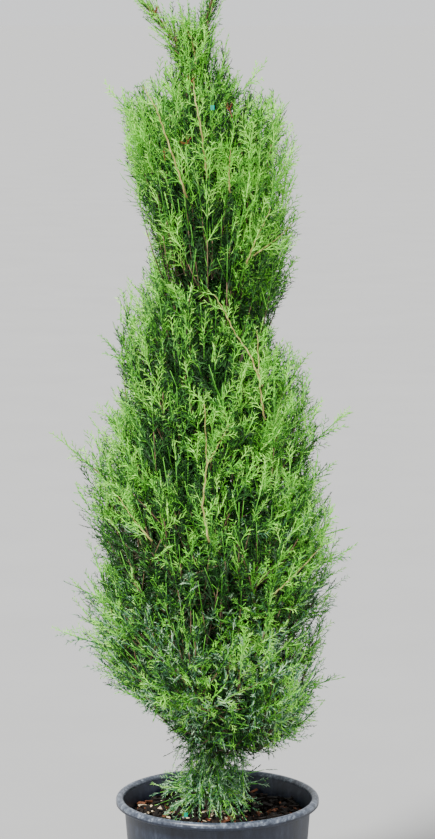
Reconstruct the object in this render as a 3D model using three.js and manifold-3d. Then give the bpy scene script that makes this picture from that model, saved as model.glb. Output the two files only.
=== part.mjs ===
// A spiral topiary: a juniper grown on one trunk and clipped loosely to a left-handed spiral,
// standing in a round nursery pot. Millimetres, +Z up, with the origin at the centre of the pot's
// flat underside. The front of the plant faces -Y.
//
// The foliage is one long band that winds down round the trunk. Its neighbouring turns are parted
// by a groove, and the band is split along its length into masses that each keep to their own space.
import * as THREE from "three";
import { mergeVertices } from "three/addons/utils/BufferGeometryUtils.js";
import Module from "manifold-3d";

const wasm = await Module();
wasm.setup();

const TURN = 2 * Math.PI;
const DEGREE = Math.PI / 180;
const GOLDEN_ANGLE = 137.508 * DEGREE;

// ---------------------------------------------------------------- driving dimensions

const CLEARANCE = 0.3; // between neighbouring solids that meet
const MERGE_DISTANCE = 1e-3; // points closer than this are one

const POT = {
  height: 275,
  rimRadius: 150,
  lipHeight: 11,
  lipWidth: 11,
  lipEdge: 3, // bevels of the rolled lip
  shoulderRadius: 138,
  baseRadius: 117,
  baseChamfer: 3,
  wall: 3,
  flareHeight: 12,
  facets: 36,
};

const SOIL = { level: 249, edgeDrop: 6, flatRadius: 42 };

const TRUNK = {
  footX: -8,
  tipX: -32,
  tipHeight: 1336,
  sway: 4,
  footRadius: 10.5,
  tipRadius: 2.6,
  flare: 6.5,
  flareHeight: 16,
  lobes: 3, // of the root flare
  lobing: 0.12,
  lobingHeight: 27,
  sections: 14,
  ringCrowding: 1.6, // rings stand closer together at the foot
  sides: 8,
};

// The groove between two turns of the band. Its surface climbs outwards, as the sprays do.
const SPIRAL = {
  pitch: 235,
  grooveAtLeft: 1126, // height of the first groove on the left, at an azimuth of half a turn
  climbTop: 0.95, // rise of the groove's surface for each millimetre outwards
  climbFoot: 0.4,
  turnShare: 0.8, // share of the crown's radius at which the groove has its stated height
  depthTop: 0.3,
  depthFoot: 0.16,
  fullAt: 0.71, // share of the crown's height at which climb and depth are as at the top
  flatness: 2.5, // how suddenly the band's face turns in towards its two grooves
  lobeFlatness: 8,
  endTurns: 3.56, // the band's length, in turns from the first groove's start on the right
  fadeTurns: 0.55, // over which its end thins out
  endShare: 0.74, // of the crown's radius, left at its very end
};

// Height and radius of the crown's outline, from the foot to the neck under the leader.
const CROWN_OUTLINE = [
  [340, 80],
  [364, 136],
  [405, 168],
  [560, 200],
  [745, 196],
  [930, 156],
  [1070, 137],
  [1250, 131],
  [1292, 126],
  [1318, 104],
  [1334, 66],
  [1340, 58],
];

const CROWN = {
  axisX: -11,
  neckX: -31, // the crown's axis moves over to the leader between these heights
  neckFrom: 1250,
  neckTo: 1340,
  top: 1340,
  foot: 340,
  massTurns: 86 / 360, // length of one mass along the band
  lobeMasses: 4, // round the full lobe above the first groove
};

const CORE = {
  share: 0.66, // of the crown's radius
  hollow: 0.3, // inner radius as a share of the crown's radius
  edge: 0.06, // kept clear across the band, at its upper and lower face
  endShrink: 0.06, // how far the sections at both ends draw in
  stations: 5,
  sideGap: 2.5 * DEGREE, // at both ends along the band
  roughness: 0.07, // uneven radius, as a share
};

const SPRAY = {
  width: 0.27, // as a share of its length
  widest: 26,
  thickness: 2.4,
  margin: 2.2, // kept from the neighbouring masses
  shortest: 34,
  longest: 170,
  steepAtTop: 66 * DEGREE,
  steepAtFoot: 12 * DEGREE,
  steepestAt: 0.68, // share of the crown's height from which sprays stand as steeply as at the top
  seed: 4100,
};

// A sprig is a middle spray and two side sprays from one root inside the core.
const SPRIG = {
  perRadius: 29, // a mass has one sprig for this much of the crown's radius
  lobeExtra: 1, // more of them on the taller masses of the lobe
  rootShare: 0.84, // of the core's radius
  fan: 27 * DEGREE, // between the middle spray and its side sprays
  sideShare: 0.78,
  slopeSpread: [-0.22, 0.12],
  droop: 0.3, // of the sprays along the band's lower edge
  headingSpread: 0.35,
  twist: 0.7,
  reach: [0.94, 1.06], // how near the outline its tips come
};

// The core's section: place across the band, and radius from its hollow (0) to its full share (1).
const CORE_SECTION = [
  [0.27, 0],
  [0, 0.62],
  [0.16, 0.93],
  [0.5, 1],
  [0.84, 0.93],
  [1, 0.62],
  [0.73, 0],
];

// Upright sprays on each mass of the lobe, which close it round the neck.
const COLLAR = { sprays: 3, across: 0.24, rootShare: 0.75, lean: 80 * DEGREE, leanStep: 8 * DEGREE };

const BOUGH = { baseRadius: 4.6, tipRadius: 2.9, sides: 5, steps: 3, sag: 5 };
const STEM = { radius: 2.6, tipRadius: 1.4, sides: 3, intoCore: 12 };
const LEADER_LIMB = { baseRadius: 2.2, tipRadius: 1.9 };
const TRUNK_SPACE = 5; // kept free of foliage round the trunk
const LEADER_CLEAR = 9; // radius round the fork that the lobe's foliage leaves free

// Long shoots that stand out of the clipped outline: azimuth, height of the tip, distance from
// the crown's axis.
const LONG_SHOOTS = [
  { azimuth: 178, height: 1322, reach: 158 },
  { azimuth: 12, height: 1336, reach: 102 },
  { azimuth: 178, height: 948, reach: 160 },
  { azimuth: 186, height: 852, reach: 168 },
  { azimuth: 352, height: 850, reach: 208 },
  { azimuth: 182, height: 806, reach: 226 },
  { azimuth: 357, height: 770, reach: 186 },
  { azimuth: 178, height: 728, reach: 192 },
  { azimuth: 357, height: 645, reach: 212 },
  { azimuth: 176, height: 590, reach: 216 },
  { azimuth: 2, height: 560, reach: 180 },
  { azimuth: 190, height: 532, reach: 233 },
  { azimuth: 177, height: 462, reach: 178 },
  { azimuth: 358, height: 452, reach: 184 },
  { azimuth: 90, height: 700, reach: 215 },
  { azimuth: 262, height: 640, reach: 212 },
];
const SHOOT = { length: 120, width: 0.16, radius: 1.6, lean: 0.35, sunkShare: 0.3 };

// The two halves of the forked leader and the low sprays round the trunk's foot. Lean is from the
// vertical, and azimuth is its direction.
const LEADERS = [
  { name: "left", azimuth: 180, lean: 36, limb: 10, stem: 112, length: 58, spread: 54, sprays: 15 },
  { name: "right", azimuth: 6, lean: 6, limb: 10, stem: 96, length: 62, spread: 68, sprays: 15 },
];
const LEADER_CORE = { radius: 19, from: 0.03, to: 0.7, sides: 7, stations: 5 }; // shares of the stem
const PARTING = { slope: 0.3, gap: 0.8, seed: 77 }; // the plane between the leader's halves
const FOOT_SPRAYS = [
  { name: "front", azimuth: 268, height: 300, stem: 62, length: 66, spread: 42, sprays: 10 },
  { name: "left", azimuth: 190, height: 306, stem: 46, length: 54, spread: 40, sprays: 9 },
  { name: "right", azimuth: 342, height: 300, stem: 40, length: 50, spread: 40, sprays: 9 },
];
const FOOT_SPACE = {
  stemDrop: 0.4, // fall of a tuft's stem for each millimetre outwards
  nearTrunk: 24, // round the trunk, where the tufts may mingle
  halfAngle: 34 * DEGREE,
  reach: 118,
  belowCrown: 4,
  overSoil: 1.5,
  seed: 611,
};

const COLOURS = {
  pot: "#23262b",
  soil: "#33231c",
  bark: "#7b6049",
  foliage: "#4f7f31",
  young: "#7aa548",
};

// ---------------------------------------------------------------- small helpers

// A repeatable random number maker (mulberry32), which returns numbers from 0 to 1.
function seededRandom(seed) {
  let state = seed >>> 0;
  return () => {
    state = (state + 0x6d2b79f5) >>> 0;
    let t = state;
    t = Math.imul(t ^ (t >>> 15), t | 1);
    t ^= t + Math.imul(t ^ (t >>> 7), t | 61);
    return ((t ^ (t >>> 14)) >>> 0) / 4294967296;
  };
}

const mix = (a, b, t) => a + (b - a) * t;
const between = (random, low, high) => mix(low, high, random());

function smooth(t) {
  const c = Math.min(Math.max(t, 0), 1);
  return c * c * (3 - 2 * c);
}

// A closed surface from its points and triangles.
function closedGeometry(points, triangles) {
  const geometry = new THREE.BufferGeometry();
  const flat = points.flatMap((p) => [p.x, p.y, p.z]);
  geometry.setAttribute("position", new THREE.Float32BufferAttribute(flat, 3));
  geometry.setIndex(triangles.flat());
  return geometry;
}

// Joins rings of equal count into a closed skin: side faces between the rings, a fan at each end.
function skinOfRings(rings) {
  const count = rings[0].length;
  const triangles = [];
  for (let ring = 0; ring + 1 < rings.length; ring++) {
    for (let i = 0; i < count; i++) {
      const a = ring * count + i;
      const b = ring * count + ((i + 1) % count);
      triangles.push([a, b, b + count], [a, b + count, a + count]);
    }
  }
  const last = (rings.length - 1) * count;
  for (let i = 1; i + 1 < count; i++) {
    triangles.push([0, i + 1, i], [last, last + i, last + i + 1]);
  }
  return closedGeometry(rings.flat(), triangles);
}

function solidOf(geometry) {
  const bare = geometry.clone();
  bare.deleteAttribute("normal");
  bare.deleteAttribute("uv");
  const merged = mergeVertices(bare, MERGE_DISTANCE);
  const solid = new wasm.Manifold(
    new wasm.Mesh({
      numProp: 3,
      vertProperties: new Float32Array(merged.attributes.position.array),
      triVerts: new Uint32Array(merged.index.array),
    }),
  );
  return solid;
}

function geometryOf(solid) {
  const mesh = solid.getMesh();
  const geometry = new THREE.BufferGeometry();
  geometry.setAttribute("position", new THREE.BufferAttribute(mesh.vertProperties, 3));
  geometry.setIndex(new THREE.BufferAttribute(mesh.triVerts, 1));
  return geometry;
}

// Joins solids in pairs, which is quicker than one after the other.
function join(solids) {
  let level = solids;
  while (level.length > 1) {
    const next = [];
    for (let i = 0; i < level.length; i += 2) {
      next.push(i + 1 < level.length ? level[i].add(level[i + 1]) : level[i]);
    }
    level = next;
  }
  return level[0];
}

// The largest closed body of a solid, so that loose scraps go and sealed hollows are filled.
function mainBody(solid) {
  const bodies = solid.decompose();
  return bodies.reduce((best, body) => (body.volume() > best.volume() ? body : best));
}

// The main body as a surface whose close points are merged, which can pinch off another scrap.
function finished(solid) {
  const main = mainBody(solid);
  return geometryOf(mainBody(solidOf(geometryOf(main))));
}

function material(colour, roughness) {
  return new THREE.MeshStandardMaterial({
    color: colour,
    roughness,
    metalness: 0,
    flatShading: true,
  });
}

function addMesh(group, name, geometry, look) {
  const mesh = new THREE.Mesh(geometry, look);
  mesh.name = name;
  group.add(mesh);
  return mesh;
}

// ---------------------------------------------------------------- the crown's measures

// The crown's radius at a height, eased from each station of the outline to the next.
function crownRadius(height) {
  const last = CROWN_OUTLINE.length - 1;
  if (height <= CROWN_OUTLINE[0][0]) return CROWN_OUTLINE[0][1];
  if (height >= CROWN_OUTLINE[last][0]) return CROWN_OUTLINE[last][1];
  const i = CROWN_OUTLINE.findIndex(([z]) => z > height) - 1;
  const [z0, r0] = CROWN_OUTLINE[i];
  const [z1, r1] = CROWN_OUTLINE[i + 1];
  return mix(r0, r1, (height - z0) / (z1 - z0));
}

function axisX(height) {
  const t = smooth((height - CROWN.neckFrom) / (CROWN.neckTo - CROWN.neckFrom));
  return mix(CROWN.axisX, CROWN.neckX, t);
}

// Height of the groove at an unrolled angle: azimuth plus a whole turn for each turn of the band.
function grooveHeight(angle) {
  return SPIRAL.grooveAtLeft - (SPIRAL.pitch * (angle - Math.PI)) / TURN;
}

function grooveSurface(angle, radius) {
  const height = grooveHeight(angle);
  const shown = SPIRAL.turnShare * crownRadius(height);
  return height + climbAt(height) * (radius - shown);
}

// How far up the crown a height is, from 0 to 1.
function crownShare(height) {
  return (height - CROWN.foot) / (CROWN.top - CROWN.foot);
}

function climbAt(height) {
  return mix(SPIRAL.climbFoot, SPIRAL.climbTop, smooth(crownShare(height) / SPIRAL.fullAt));
}

function grooveDepth(height) {
  const t = Math.min(Math.max(crownShare(height) / SPIRAL.fullAt, 0), 1);
  return mix(SPIRAL.depthFoot, SPIRAL.depthTop, t);
}

// What a mass of the winding band needs to know of its space: the height of its upper and lower
// faces, and the outline's radius across the band (0 at its upper edge, 1 at its lower edge).
const bandSpace = {
  upper: (angle, radius) => grooveSurface(angle, radius),
  lower: (angle, radius) => Math.max(grooveSurface(angle + TURN, radius), CROWN.foot),
  outline(angle, height, across) {
    const depth = grooveDepth(height);
    const fade = smooth((SPIRAL.endTurns - angle / TURN) / SPIRAL.fadeTurns);
    const bulge = 1 - depth * Math.abs(2 * across - 1) ** SPIRAL.flatness;
    return crownRadius(height) * bulge * mix(SPIRAL.endShare, 1, fade);
  },
};

// The lobe above the first groove fills the crown up to the neck.
const lobeSpace = {
  upper: () => CROWN.top,
  lower: (angle, radius) => grooveSurface(angle, radius),
  outline(angle, height, across) {
    return crownRadius(height) * (1 - grooveDepth(height) * across ** SPIRAL.lobeFlatness);
  },
};

function pointAt(angle, radius, height) {
  return new THREE.Vector3(
    axisX(height) + radius * Math.cos(angle),
    radius * Math.sin(angle),
    height,
  );
}

// The point of a space at an angle, a share across it and a share of its outline's radius.
function pointInSpace(space, angle, across, share) {
  let radius = 100;
  let height = 0;
  for (let pass = 0; pass < 4; pass++) {
    height = mix(space.upper(angle, radius), space.lower(angle, radius), across);
    radius = share * space.outline(angle, height, across);
  }
  return pointAt(angle, radius, height);
}

// Whether a point keeps to a mass's space, at a margin from its faces.
function keepsTo(mass, point, margin, overreach) {
  const dx = point.x - axisX(point.z);
  const radius = Math.hypot(dx, point.y);
  const middle = (mass.from + mass.to) / 2;
  let angle = Math.atan2(point.y, dx);
  angle += TURN * Math.round((middle - angle) / TURN);
  const side = Math.min(angle - mass.from, mass.to - angle);
  if (side < 0 || radius * Math.sin(Math.min(side, Math.PI / 2)) < margin) return false;
  const upper = mass.space.upper(angle, radius) - margin * 1.5;
  const lower = mass.space.lower(angle, radius) + margin * 1.5;
  if (point.z > upper || point.z < lower) return false;
  const across = (upper - point.z) / (upper - lower);
  return radius < overreach * mass.space.outline(angle, point.z, across);
}

// ---------------------------------------------------------------- pot and soil

function potRadius(height) {
  return mix(POT.baseRadius, POT.shoulderRadius, height / (POT.height - POT.lipHeight));
}

function potGeometry() {
  const { height, rimRadius, lipHeight, lipWidth, lipEdge, wall, baseChamfer, flareHeight } = POT;
  const shoulder = height - lipHeight;
  const innerRim = rimRadius - lipWidth;
  const profile = [
    [0, 0],
    [POT.baseRadius - baseChamfer, 0],
    [potRadius(baseChamfer), baseChamfer],
    [POT.shoulderRadius, shoulder],
    [rimRadius - lipEdge, shoulder],
    [rimRadius, shoulder + lipEdge],
    [rimRadius, height - lipEdge],
    [rimRadius - lipEdge, height],
    [innerRim + lipEdge, height],
    [innerRim, height - lipEdge],
    [potRadius(height - flareHeight) - wall, height - flareHeight],
    [potRadius(wall) - wall, wall],
    [0, wall],
  ];
  return lathe(profile);
}

function soilGeometry() {
  const wallGap = POT.wall + CLEARANCE + 0.1;
  const foot = POT.wall + CLEARANCE;
  const edge = SOIL.level - SOIL.edgeDrop;
  const profile = [
    [0, foot],
    [potRadius(foot) - wallGap, foot],
    [potRadius(edge) - wallGap, edge],
    [SOIL.flatRadius, SOIL.level],
    [0, SOIL.level],
  ];
  return lathe(profile);
}

// Turns a profile of radius and height about the vertical axis.
function lathe(profile) {
  const points = profile.map(([radius, height]) => new THREE.Vector2(radius, height));
  const geometry = new THREE.LatheGeometry(points, POT.facets);
  geometry.rotateX(Math.PI / 2);
  return geometryOf(solidOf(geometry));
}

// ---------------------------------------------------------------- trunk and limbs

function trunkShare(height) {
  const foot = SOIL.level + CLEARANCE;
  return (height - foot) / (TRUNK.tipHeight - foot);
}

function trunkCentre(height) {
  const t = trunkShare(height);
  const x = mix(TRUNK.footX, TRUNK.tipX, t ** 2.2) + TRUNK.sway * Math.sin(t * TURN);
  const y = TRUNK.sway * Math.sin(t * TURN * 0.8 + 1) - TRUNK.sway * Math.sin(1);
  return new THREE.Vector3(x, y, height);
}

function trunkRadius(height) {
  const t = trunkShare(height);
  const flare = TRUNK.flare * Math.exp(-(t * (TRUNK.tipHeight - SOIL.level)) / TRUNK.flareHeight);
  return mix(TRUNK.footRadius, TRUNK.tipRadius, t ** 0.9) + flare;
}

// The trunk as level rings, closer together at the root flare, grown all round by a clearance.
function trunkGeometry(grown) {
  const facetShare = Math.cos(Math.PI / TRUNK.sides); // a flat side lies nearer than its corners
  const rings = [];
  for (let i = 0; i <= TRUNK.sections; i++) {
    const t = (i / TRUNK.sections) ** TRUNK.ringCrowding;
    const height = mix(SOIL.level + CLEARANCE, TRUNK.tipHeight, t);
    const centre = trunkCentre(height);
    const ends = i === 0 ? -grown : i === TRUNK.sections ? grown : 0;
    const lobing = TRUNK.lobing * Math.exp(-(height - SOIL.level) / TRUNK.lobingHeight);
    const ring = [];
    for (let side = 0; side < TRUNK.sides; side++) {
      const angle = (side * TURN) / TRUNK.sides;
      const lobed = lobing * Math.cos(TRUNK.lobes * angle);
      const radius = trunkRadius(height) * (1 + lobed) + grown / facetShare;
      ring.push(
        new THREE.Vector3(
          centre.x + radius * Math.cos(angle),
          centre.y + radius * Math.sin(angle),
          height + ends,
        ),
      );
    }
    rings.push(ring);
  }
  return skinOfRings(rings);
}

// A tapering limb along a path of points, with flat ends square to the path.
function limbGeometry(path, baseRadius, tipRadius, sides) {
  const rings = path.map((point, i) => {
    const before = path[Math.max(i - 1, 0)];
    const after = path[Math.min(i + 1, path.length - 1)];
    const along = after.clone().sub(before).normalize();
    const across = new THREE.Vector3(0.12, 1, 0.23).cross(along).normalize();
    const up = along.clone().cross(across);
    const radius = mix(baseRadius, tipRadius, i / (path.length - 1));
    return Array.from({ length: sides }, (_, side) => {
      const angle = (side * TURN) / sides;
      return point
        .clone()
        .addScaledVector(across, radius * Math.cos(angle))
        .addScaledVector(up, radius * Math.sin(angle));
    });
  });
  return skinOfRings(rings);
}

// Points from one place to another along a line that sags or, with a negative sag, arches.
function curvedPath(from, to, steps, sag) {
  return Array.from({ length: steps + 1 }, (_, i) => {
    const t = i / steps;
    const point = from.clone().lerp(to, t);
    point.z -= sag * Math.sin(t * Math.PI);
    return point;
  });
}

// ---------------------------------------------------------------- sprays

// Outline of one side of a spray, root to tip: share of its length, share of its half width. The
// teeth point forward, as the side shoots of a scaly spray do.
const SPRAY_TEETH = {
  two: [
    [0.36, 1],
    [0.46, 0.46],
    [0.68, 0.72],
    [0.76, 0.26],
  ],
  one: [
    [0.42, 1],
    [0.56, 0.36],
  ],
};
const SPRAY_RIDGE = 0.44;

// A spray is a toothed blade with a low ridge on both faces.
function sprayPoints(root, tip, facing, width, teeth) {
  const along = tip.clone().sub(root);
  const length = along.length();
  along.normalize();
  const across = facing.clone().cross(along).normalize();
  const normal = along.clone().cross(across);
  const place = (share, side) =>
    root
      .clone()
      .addScaledVector(along, share * length)
      .addScaledVector(across, (side * width) / 2);
  const right = teeth.map(([share, side]) => place(share, side));
  const left = teeth.map(([share, side]) => place(share, -side)).reverse();
  const rim = [root.clone(), ...right, tip.clone(), ...left];
  const ridge = place(SPRAY_RIDGE, 0);
  const over = ridge.clone().addScaledVector(normal, SPRAY.thickness / 2);
  const under = ridge.clone().addScaledVector(normal, -SPRAY.thickness / 2);
  return { rim, over, under };
}

function sprayGeometry({ rim, over, under }) {
  const count = rim.length;
  const triangles = [];
  for (let i = 0; i < count; i++) {
    const next = (i + 1) % count;
    triangles.push([next, i, count], [i, next, count + 1]);
  }
  return closedGeometry([...rim, over, under], triangles);
}

// Adds a spray to a list of solids where all of it but its root keeps to the mass's space.
function addSpray(solids, mass, root, tip, facing, width, teeth, overreach) {
  const points = sprayPoints(root, tip, facing, width, teeth);
  const outer = [...points.rim.slice(1), points.over];
  if (outer.every((point) => keepsTo(mass, point, SPRAY.margin, overreach))) {
    solids.push(solidOf(sprayGeometry(points)));
  }
}

// ---------------------------------------------------------------- masses of foliage

// The dense inner body of a mass: sections across the band, swept along it, smaller at both ends.
function coreGeometry(mass, random) {
  const { space, from, to } = mass;
  const section = CORE_SECTION.map(([across, share]) => [
    mix(CORE.edge, 1 - CORE.edge, across),
    mix(CORE.hollow, CORE.share, share),
  ]);
  const rings = [];
  for (let i = 0; i < CORE.stations; i++) {
    const t = i / (CORE.stations - 1);
    const angle = mix(from + CORE.sideGap, to - CORE.sideGap, t);
    const atEnd = i === 0 || i === CORE.stations - 1;
    const centre = pointInSpace(space, angle, 0.5, (CORE.share + CORE.hollow) / 2);
    const ring = section.map(([across, share]) => {
      const uneven = 1 + between(random, -CORE.roughness, CORE.roughness);
      const drawIn = atEnd ? CORE.endShrink : 0;
      return pointInSpace(space, angle, across, share * uneven).lerp(centre, drawIn);
    });
    rings.push(ring);
  }
  return skinOfRings(rings);
}

// Steepness of the sprays: nearly upright at the top of the plant, spreading low down.
function steepness(height) {
  return mix(SPRAY.steepAtFoot, SPRAY.steepAtTop, smooth(crownShare(height) / SPRAY.steepestAt));
}

// The direction of a spray that leaves the crown's axis at an angle, with a slope.
function outward(angle, slope) {
  return new THREE.Vector3(
    Math.cos(angle) * Math.cos(slope),
    Math.sin(angle) * Math.cos(slope),
    Math.sin(slope),
  );
}

// How far a spray can run from its root before it leaves the mass's space or its outline.
function reachOf(mass, root, direction, overreach) {
  const step = 4;
  let reach = 0;
  for (let length = step; length < SPRAY.longest; length += step) {
    const point = root.clone().addScaledVector(direction, length);
    if (keepsTo(mass, point, SPRAY.margin * 1.6, overreach)) reach = length;
    else if (reach > 0) break;
  }
  return reach;
}

function addSprig(solids, mass, random, angle, across) {
  const root = pointInSpace(mass.space, angle, across, CORE.share * SPRIG.rootShare);
  const droop = across > 0.8 ? SPRIG.droop : 0;
  const slope = steepness(root.z) + between(random, ...SPRIG.slopeSpread) - droop;
  const heading = angle + between(random, -SPRIG.headingSpread, SPRIG.headingSpread);
  const facing = outward(heading, slope - Math.PI / 2);
  facing.applyAxisAngle(outward(heading, slope), between(random, -SPRIG.twist, SPRIG.twist));
  for (const side of [0, 1, -1]) {
    const direction = outward(heading, slope).applyAxisAngle(facing, side * SPRIG.fan);
    const limit = between(random, ...SPRIG.reach);
    const share = side === 0 ? 1 : SPRIG.sideShare;
    const length = reachOf(mass, root, direction, limit) * share;
    if (length < SPRAY.shortest) continue;
    const tip = root.clone().addScaledVector(direction, length);
    const width = Math.min(SPRAY.width * length, SPRAY.widest) * between(random, 0.85, 1.15);
    const teeth = side === 0 ? SPRAY_TEETH.two : SPRAY_TEETH.one;
    addSpray(solids, mass, root, tip, facing, width, teeth, limit * 1.1);
  }
}

function addCollar(solids, mass, random) {
  for (let i = 0; i < COLLAR.sprays; i++) {
    const angle = mix(mass.from, mass.to, (i + 0.5) / COLLAR.sprays);
    const root = pointInSpace(mass.space, angle, COLLAR.across, CORE.share * COLLAR.rootShare);
    const direction = outward(angle, Math.PI - COLLAR.lean - COLLAR.leanStep * (i % 2));
    const length = reachOf(mass, root, direction, 1);
    const tip = root.clone().addScaledVector(direction, length);
    const facing = outward(angle + between(random, -SPRIG.twist, SPRIG.twist), 0);
    addSpray(solids, mass, root, tip, facing, SPRAY.width * length, SPRAY_TEETH.two, 1.1);
  }
}

// A long shoot: a slim twig out of the core that ends in a narrow spray.
function addShoot(solids, mass, shoot) {
  const angle = shoot.azimuth * DEGREE;
  const tip = pointAt(angle, shoot.reach, shoot.height);
  if (!keepsTo(mass, tip, SPRAY.margin, 2)) return;
  const slope = steepness(shoot.height) - SHOOT.lean;
  const along = outward(angle, slope);
  const root = tip.clone().addScaledVector(along, -SHOOT.length);
  const facing = outward(angle, slope - Math.PI / 2);
  const width = SHOOT.width * SHOOT.length;
  const points = sprayPoints(root, tip, facing, width, SPRAY_TEETH.two);
  const inner = root.clone().addScaledVector(along, -SHOOT.length * SHOOT.sunkShare);
  const path = [inner, root.clone().lerp(tip, 0.5)];
  solids.push(solidOf(sprayGeometry(points)));
  solids.push(solidOf(limbGeometry(path, SHOOT.radius * 1.3, SHOOT.radius, STEM.sides)));
}

// The masses: four round the lobe, then one after another along the winding band.
function massList() {
  const masses = [];
  const lobeNames = ["back_right", "back_left", "front_left", "front_right"];
  for (let i = 0; i < CROWN.lobeMasses; i++) {
    const from = (i * TURN) / CROWN.lobeMasses;
    const to = from + TURN / CROWN.lobeMasses;
    masses.push({ name: "lobe_" + lobeNames[i], space: lobeSpace, from, to });
  }
  const step = CROWN.massTurns * TURN;
  for (let i = 0; (i + 1) * CROWN.massTurns <= SPIRAL.endTurns + 0.05; i++) {
    const name = "spiral_" + String(i + 1).padStart(2, "0");
    masses.push({ name, space: bandSpace, from: i * step, to: (i + 1) * step });
  }
  return masses;
}

// Where a mass's bough leaves the trunk and where it enters the mass.
function boughEnds(mass) {
  const angle = (mass.from + mass.to) / 2;
  const across = mass.space === lobeSpace ? 0.62 : 0.5;
  const tip = pointInSpace(mass.space, angle, across, CORE.hollow * 0.86);
  const drop = tip.z - Math.max(climbAt(tip.z) * 0.9 * CORE.hollow * crownRadius(tip.z), 12);
  const root = trunkCentre(Math.max(drop, SOIL.level + 60));
  return { root, tip };
}

// The bough from the trunk's axis to its tip, grown all round by a clearance.
function boughLimb(mass, grown) {
  const { root, tip } = boughEnds(mass);
  const path = curvedPath(root, tip, BOUGH.steps, BOUGH.sag);
  const along = tip.clone().sub(path[path.length - 2]).normalize();
  path[path.length - 1].addScaledVector(along, grown);
  return solidOf(
    limbGeometry(path, BOUGH.baseRadius + grown, BOUGH.tipRadius + grown, BOUGH.sides),
  );
}

// The stem runs on from the bough's tip into the core.
function stemSolid(mass) {
  const { root, tip } = boughEnds(mass);
  const path = curvedPath(root, tip, BOUGH.steps, BOUGH.sag);
  const along = tip.clone().sub(path[path.length - 2]).normalize();
  const from = tip.clone().addScaledVector(along, CLEARANCE);
  const to = tip.clone().addScaledVector(along, CORE.hollow * crownRadius(tip.z) + STEM.intoCore);
  return solidOf(limbGeometry([from, to], STEM.radius, STEM.tipRadius, STEM.sides));
}

function massSolid(mass, index, trunkSpace) {
  const random = seededRandom(SPRAY.seed + index);
  const solids = [solidOf(coreGeometry(mass, random))];
  const { tip } = boughEnds(mass);
  const inLobe = mass.space === lobeSpace;
  const extra = inLobe ? SPRIG.lobeExtra : 0;
  const sprigs = Math.round(crownRadius(tip.z) / SPRIG.perRadius) + extra;
  for (let i = 0; i < sprigs; i++) {
    const alongBand = (i + between(random, 0.25, 0.75)) / sprigs;
    const acrossBand = (i * 0.618 + between(random, 0, 0.2) + 0.1 * index) % 1;
    addSprig(solids, mass, random, mix(mass.from, mass.to, alongBand), mix(0.2, 0.93, acrossBand));
  }
  if (inLobe) addCollar(solids, mass, random);
  for (const shoot of LONG_SHOOTS) addShoot(solids, mass, shoot);
  const body = mainBody(join(solids).subtract(trunkSpace).subtract(boughLimb(mass, 1)));
  return body.add(stemSolid(mass)).subtract(boughLimb(mass, CLEARANCE));
}

// ---------------------------------------------------------------- leader and foot

// A loose tuft: sprays leave one stem in a golden spiral, out of a core where it has one.
function tuftSolid(stem, spec, random, allowed, cores) {
  const along = stem[1].clone().sub(stem[0]).normalize();
  const limb = solidOf(limbGeometry(stem, STEM.radius * 1.3, STEM.tipRadius, STEM.sides));
  const solids = [limb, ...cores];
  for (let i = 0; i < spec.sprays; i++) {
    const share = (i + 0.5) / spec.sprays;
    const root = stem[0].clone().lerp(stem[1], 0.06 + 0.9 * share);
    const side = new THREE.Vector3(0.2, 0.31, 1).cross(along).normalize();
    side.applyAxisAngle(along, i * GOLDEN_ANGLE);
    const spread = mix(spec.spread, spec.spread * 0.25, share) * DEGREE;
    const direction = along.clone().applyAxisAngle(side, spread);
    const length = spec.length * between(random, 0.85, 1.1);
    const start = root.clone().addScaledVector(direction, -5);
    const tip = root.clone().addScaledVector(direction, length);
    const facing = side.clone().cross(direction).applyAxisAngle(direction, between(random, -0.8, 0.8));
    const teeth = i % 2 === 0 ? SPRAY_TEETH.two : SPRAY_TEETH.one;
    const points = sprayPoints(start, tip, facing, SPRAY.width * length, teeth);
    if (points.rim.every(allowed)) solids.push(solidOf(sprayGeometry(points)));
  }
  return mainBody(join(solids));
}

// The dense middle of a leader's half: a spindle round its stem.
function spindleSolid(stem) {
  const { radius, from, to, sides, stations } = LEADER_CORE;
  const along = stem[1].clone().sub(stem[0]).normalize();
  const across = new THREE.Vector3(0, 1, 0).cross(along).normalize();
  const over = along.clone().cross(across);
  const rings = Array.from({ length: stations }, (_, i) => {
    const t = i / (stations - 1);
    const centre = stem[0].clone().lerp(stem[1], mix(from, to, t));
    const size = radius * Math.sin(mix(0.16, 0.97, t) * Math.PI);
    return Array.from({ length: sides }, (_, side) => {
      const angle = (side * TURN) / sides;
      return centre
        .clone()
        .addScaledVector(across, size * Math.cos(angle))
        .addScaledVector(over, size * Math.sin(angle));
    });
  });
  return solidOf(skinOfRings(rings));
}

function leaderParts(group, looks, trunkGap) {
  const fork = trunkCentre(TRUNK.tipHeight - 2);
  let taken = trunkGap;
  LEADERS.forEach((spec, index) => {
    const lean = (90 - spec.lean) * DEGREE;
    const direction = outward(spec.azimuth * DEGREE, lean);
    const limbTip = fork.clone().addScaledVector(direction, spec.limb);
    const { baseRadius, tipRadius } = LEADER_LIMB;
    const forkTo = (grown) =>
      solidOf(limbGeometry([fork, limbTip], baseRadius + grown, tipRadius + grown, BOUGH.sides));
    const facing = new THREE.Vector3(1, 0, PARTING.slope).normalize();
    if (index === 0) facing.negate();
    const parting = facing.dot(fork) + PARTING.gap;
    const allowed = (point) => facing.dot(point) > parting && clearOfLobe(point);
    addMesh(group, "leader_fork_" + spec.name, finished(forkTo(0).subtract(taken)), looks.bark);
    taken = taken.add(forkTo(CLEARANCE));
    const from = limbTip.clone().addScaledVector(direction, CLEARANCE * 1.2);
    const to = limbTip.clone().addScaledVector(direction, spec.stem);
    const core = spindleSolid([from, to]).trimByPlane(facing.toArray(), parting);
    const tuft = tuftSolid([from, to], spec, seededRandom(PARTING.seed + index), allowed, [core]);
    addMesh(group, "foliage_leader_" + spec.name, finished(tuft), looks.young);
  });
}

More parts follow.
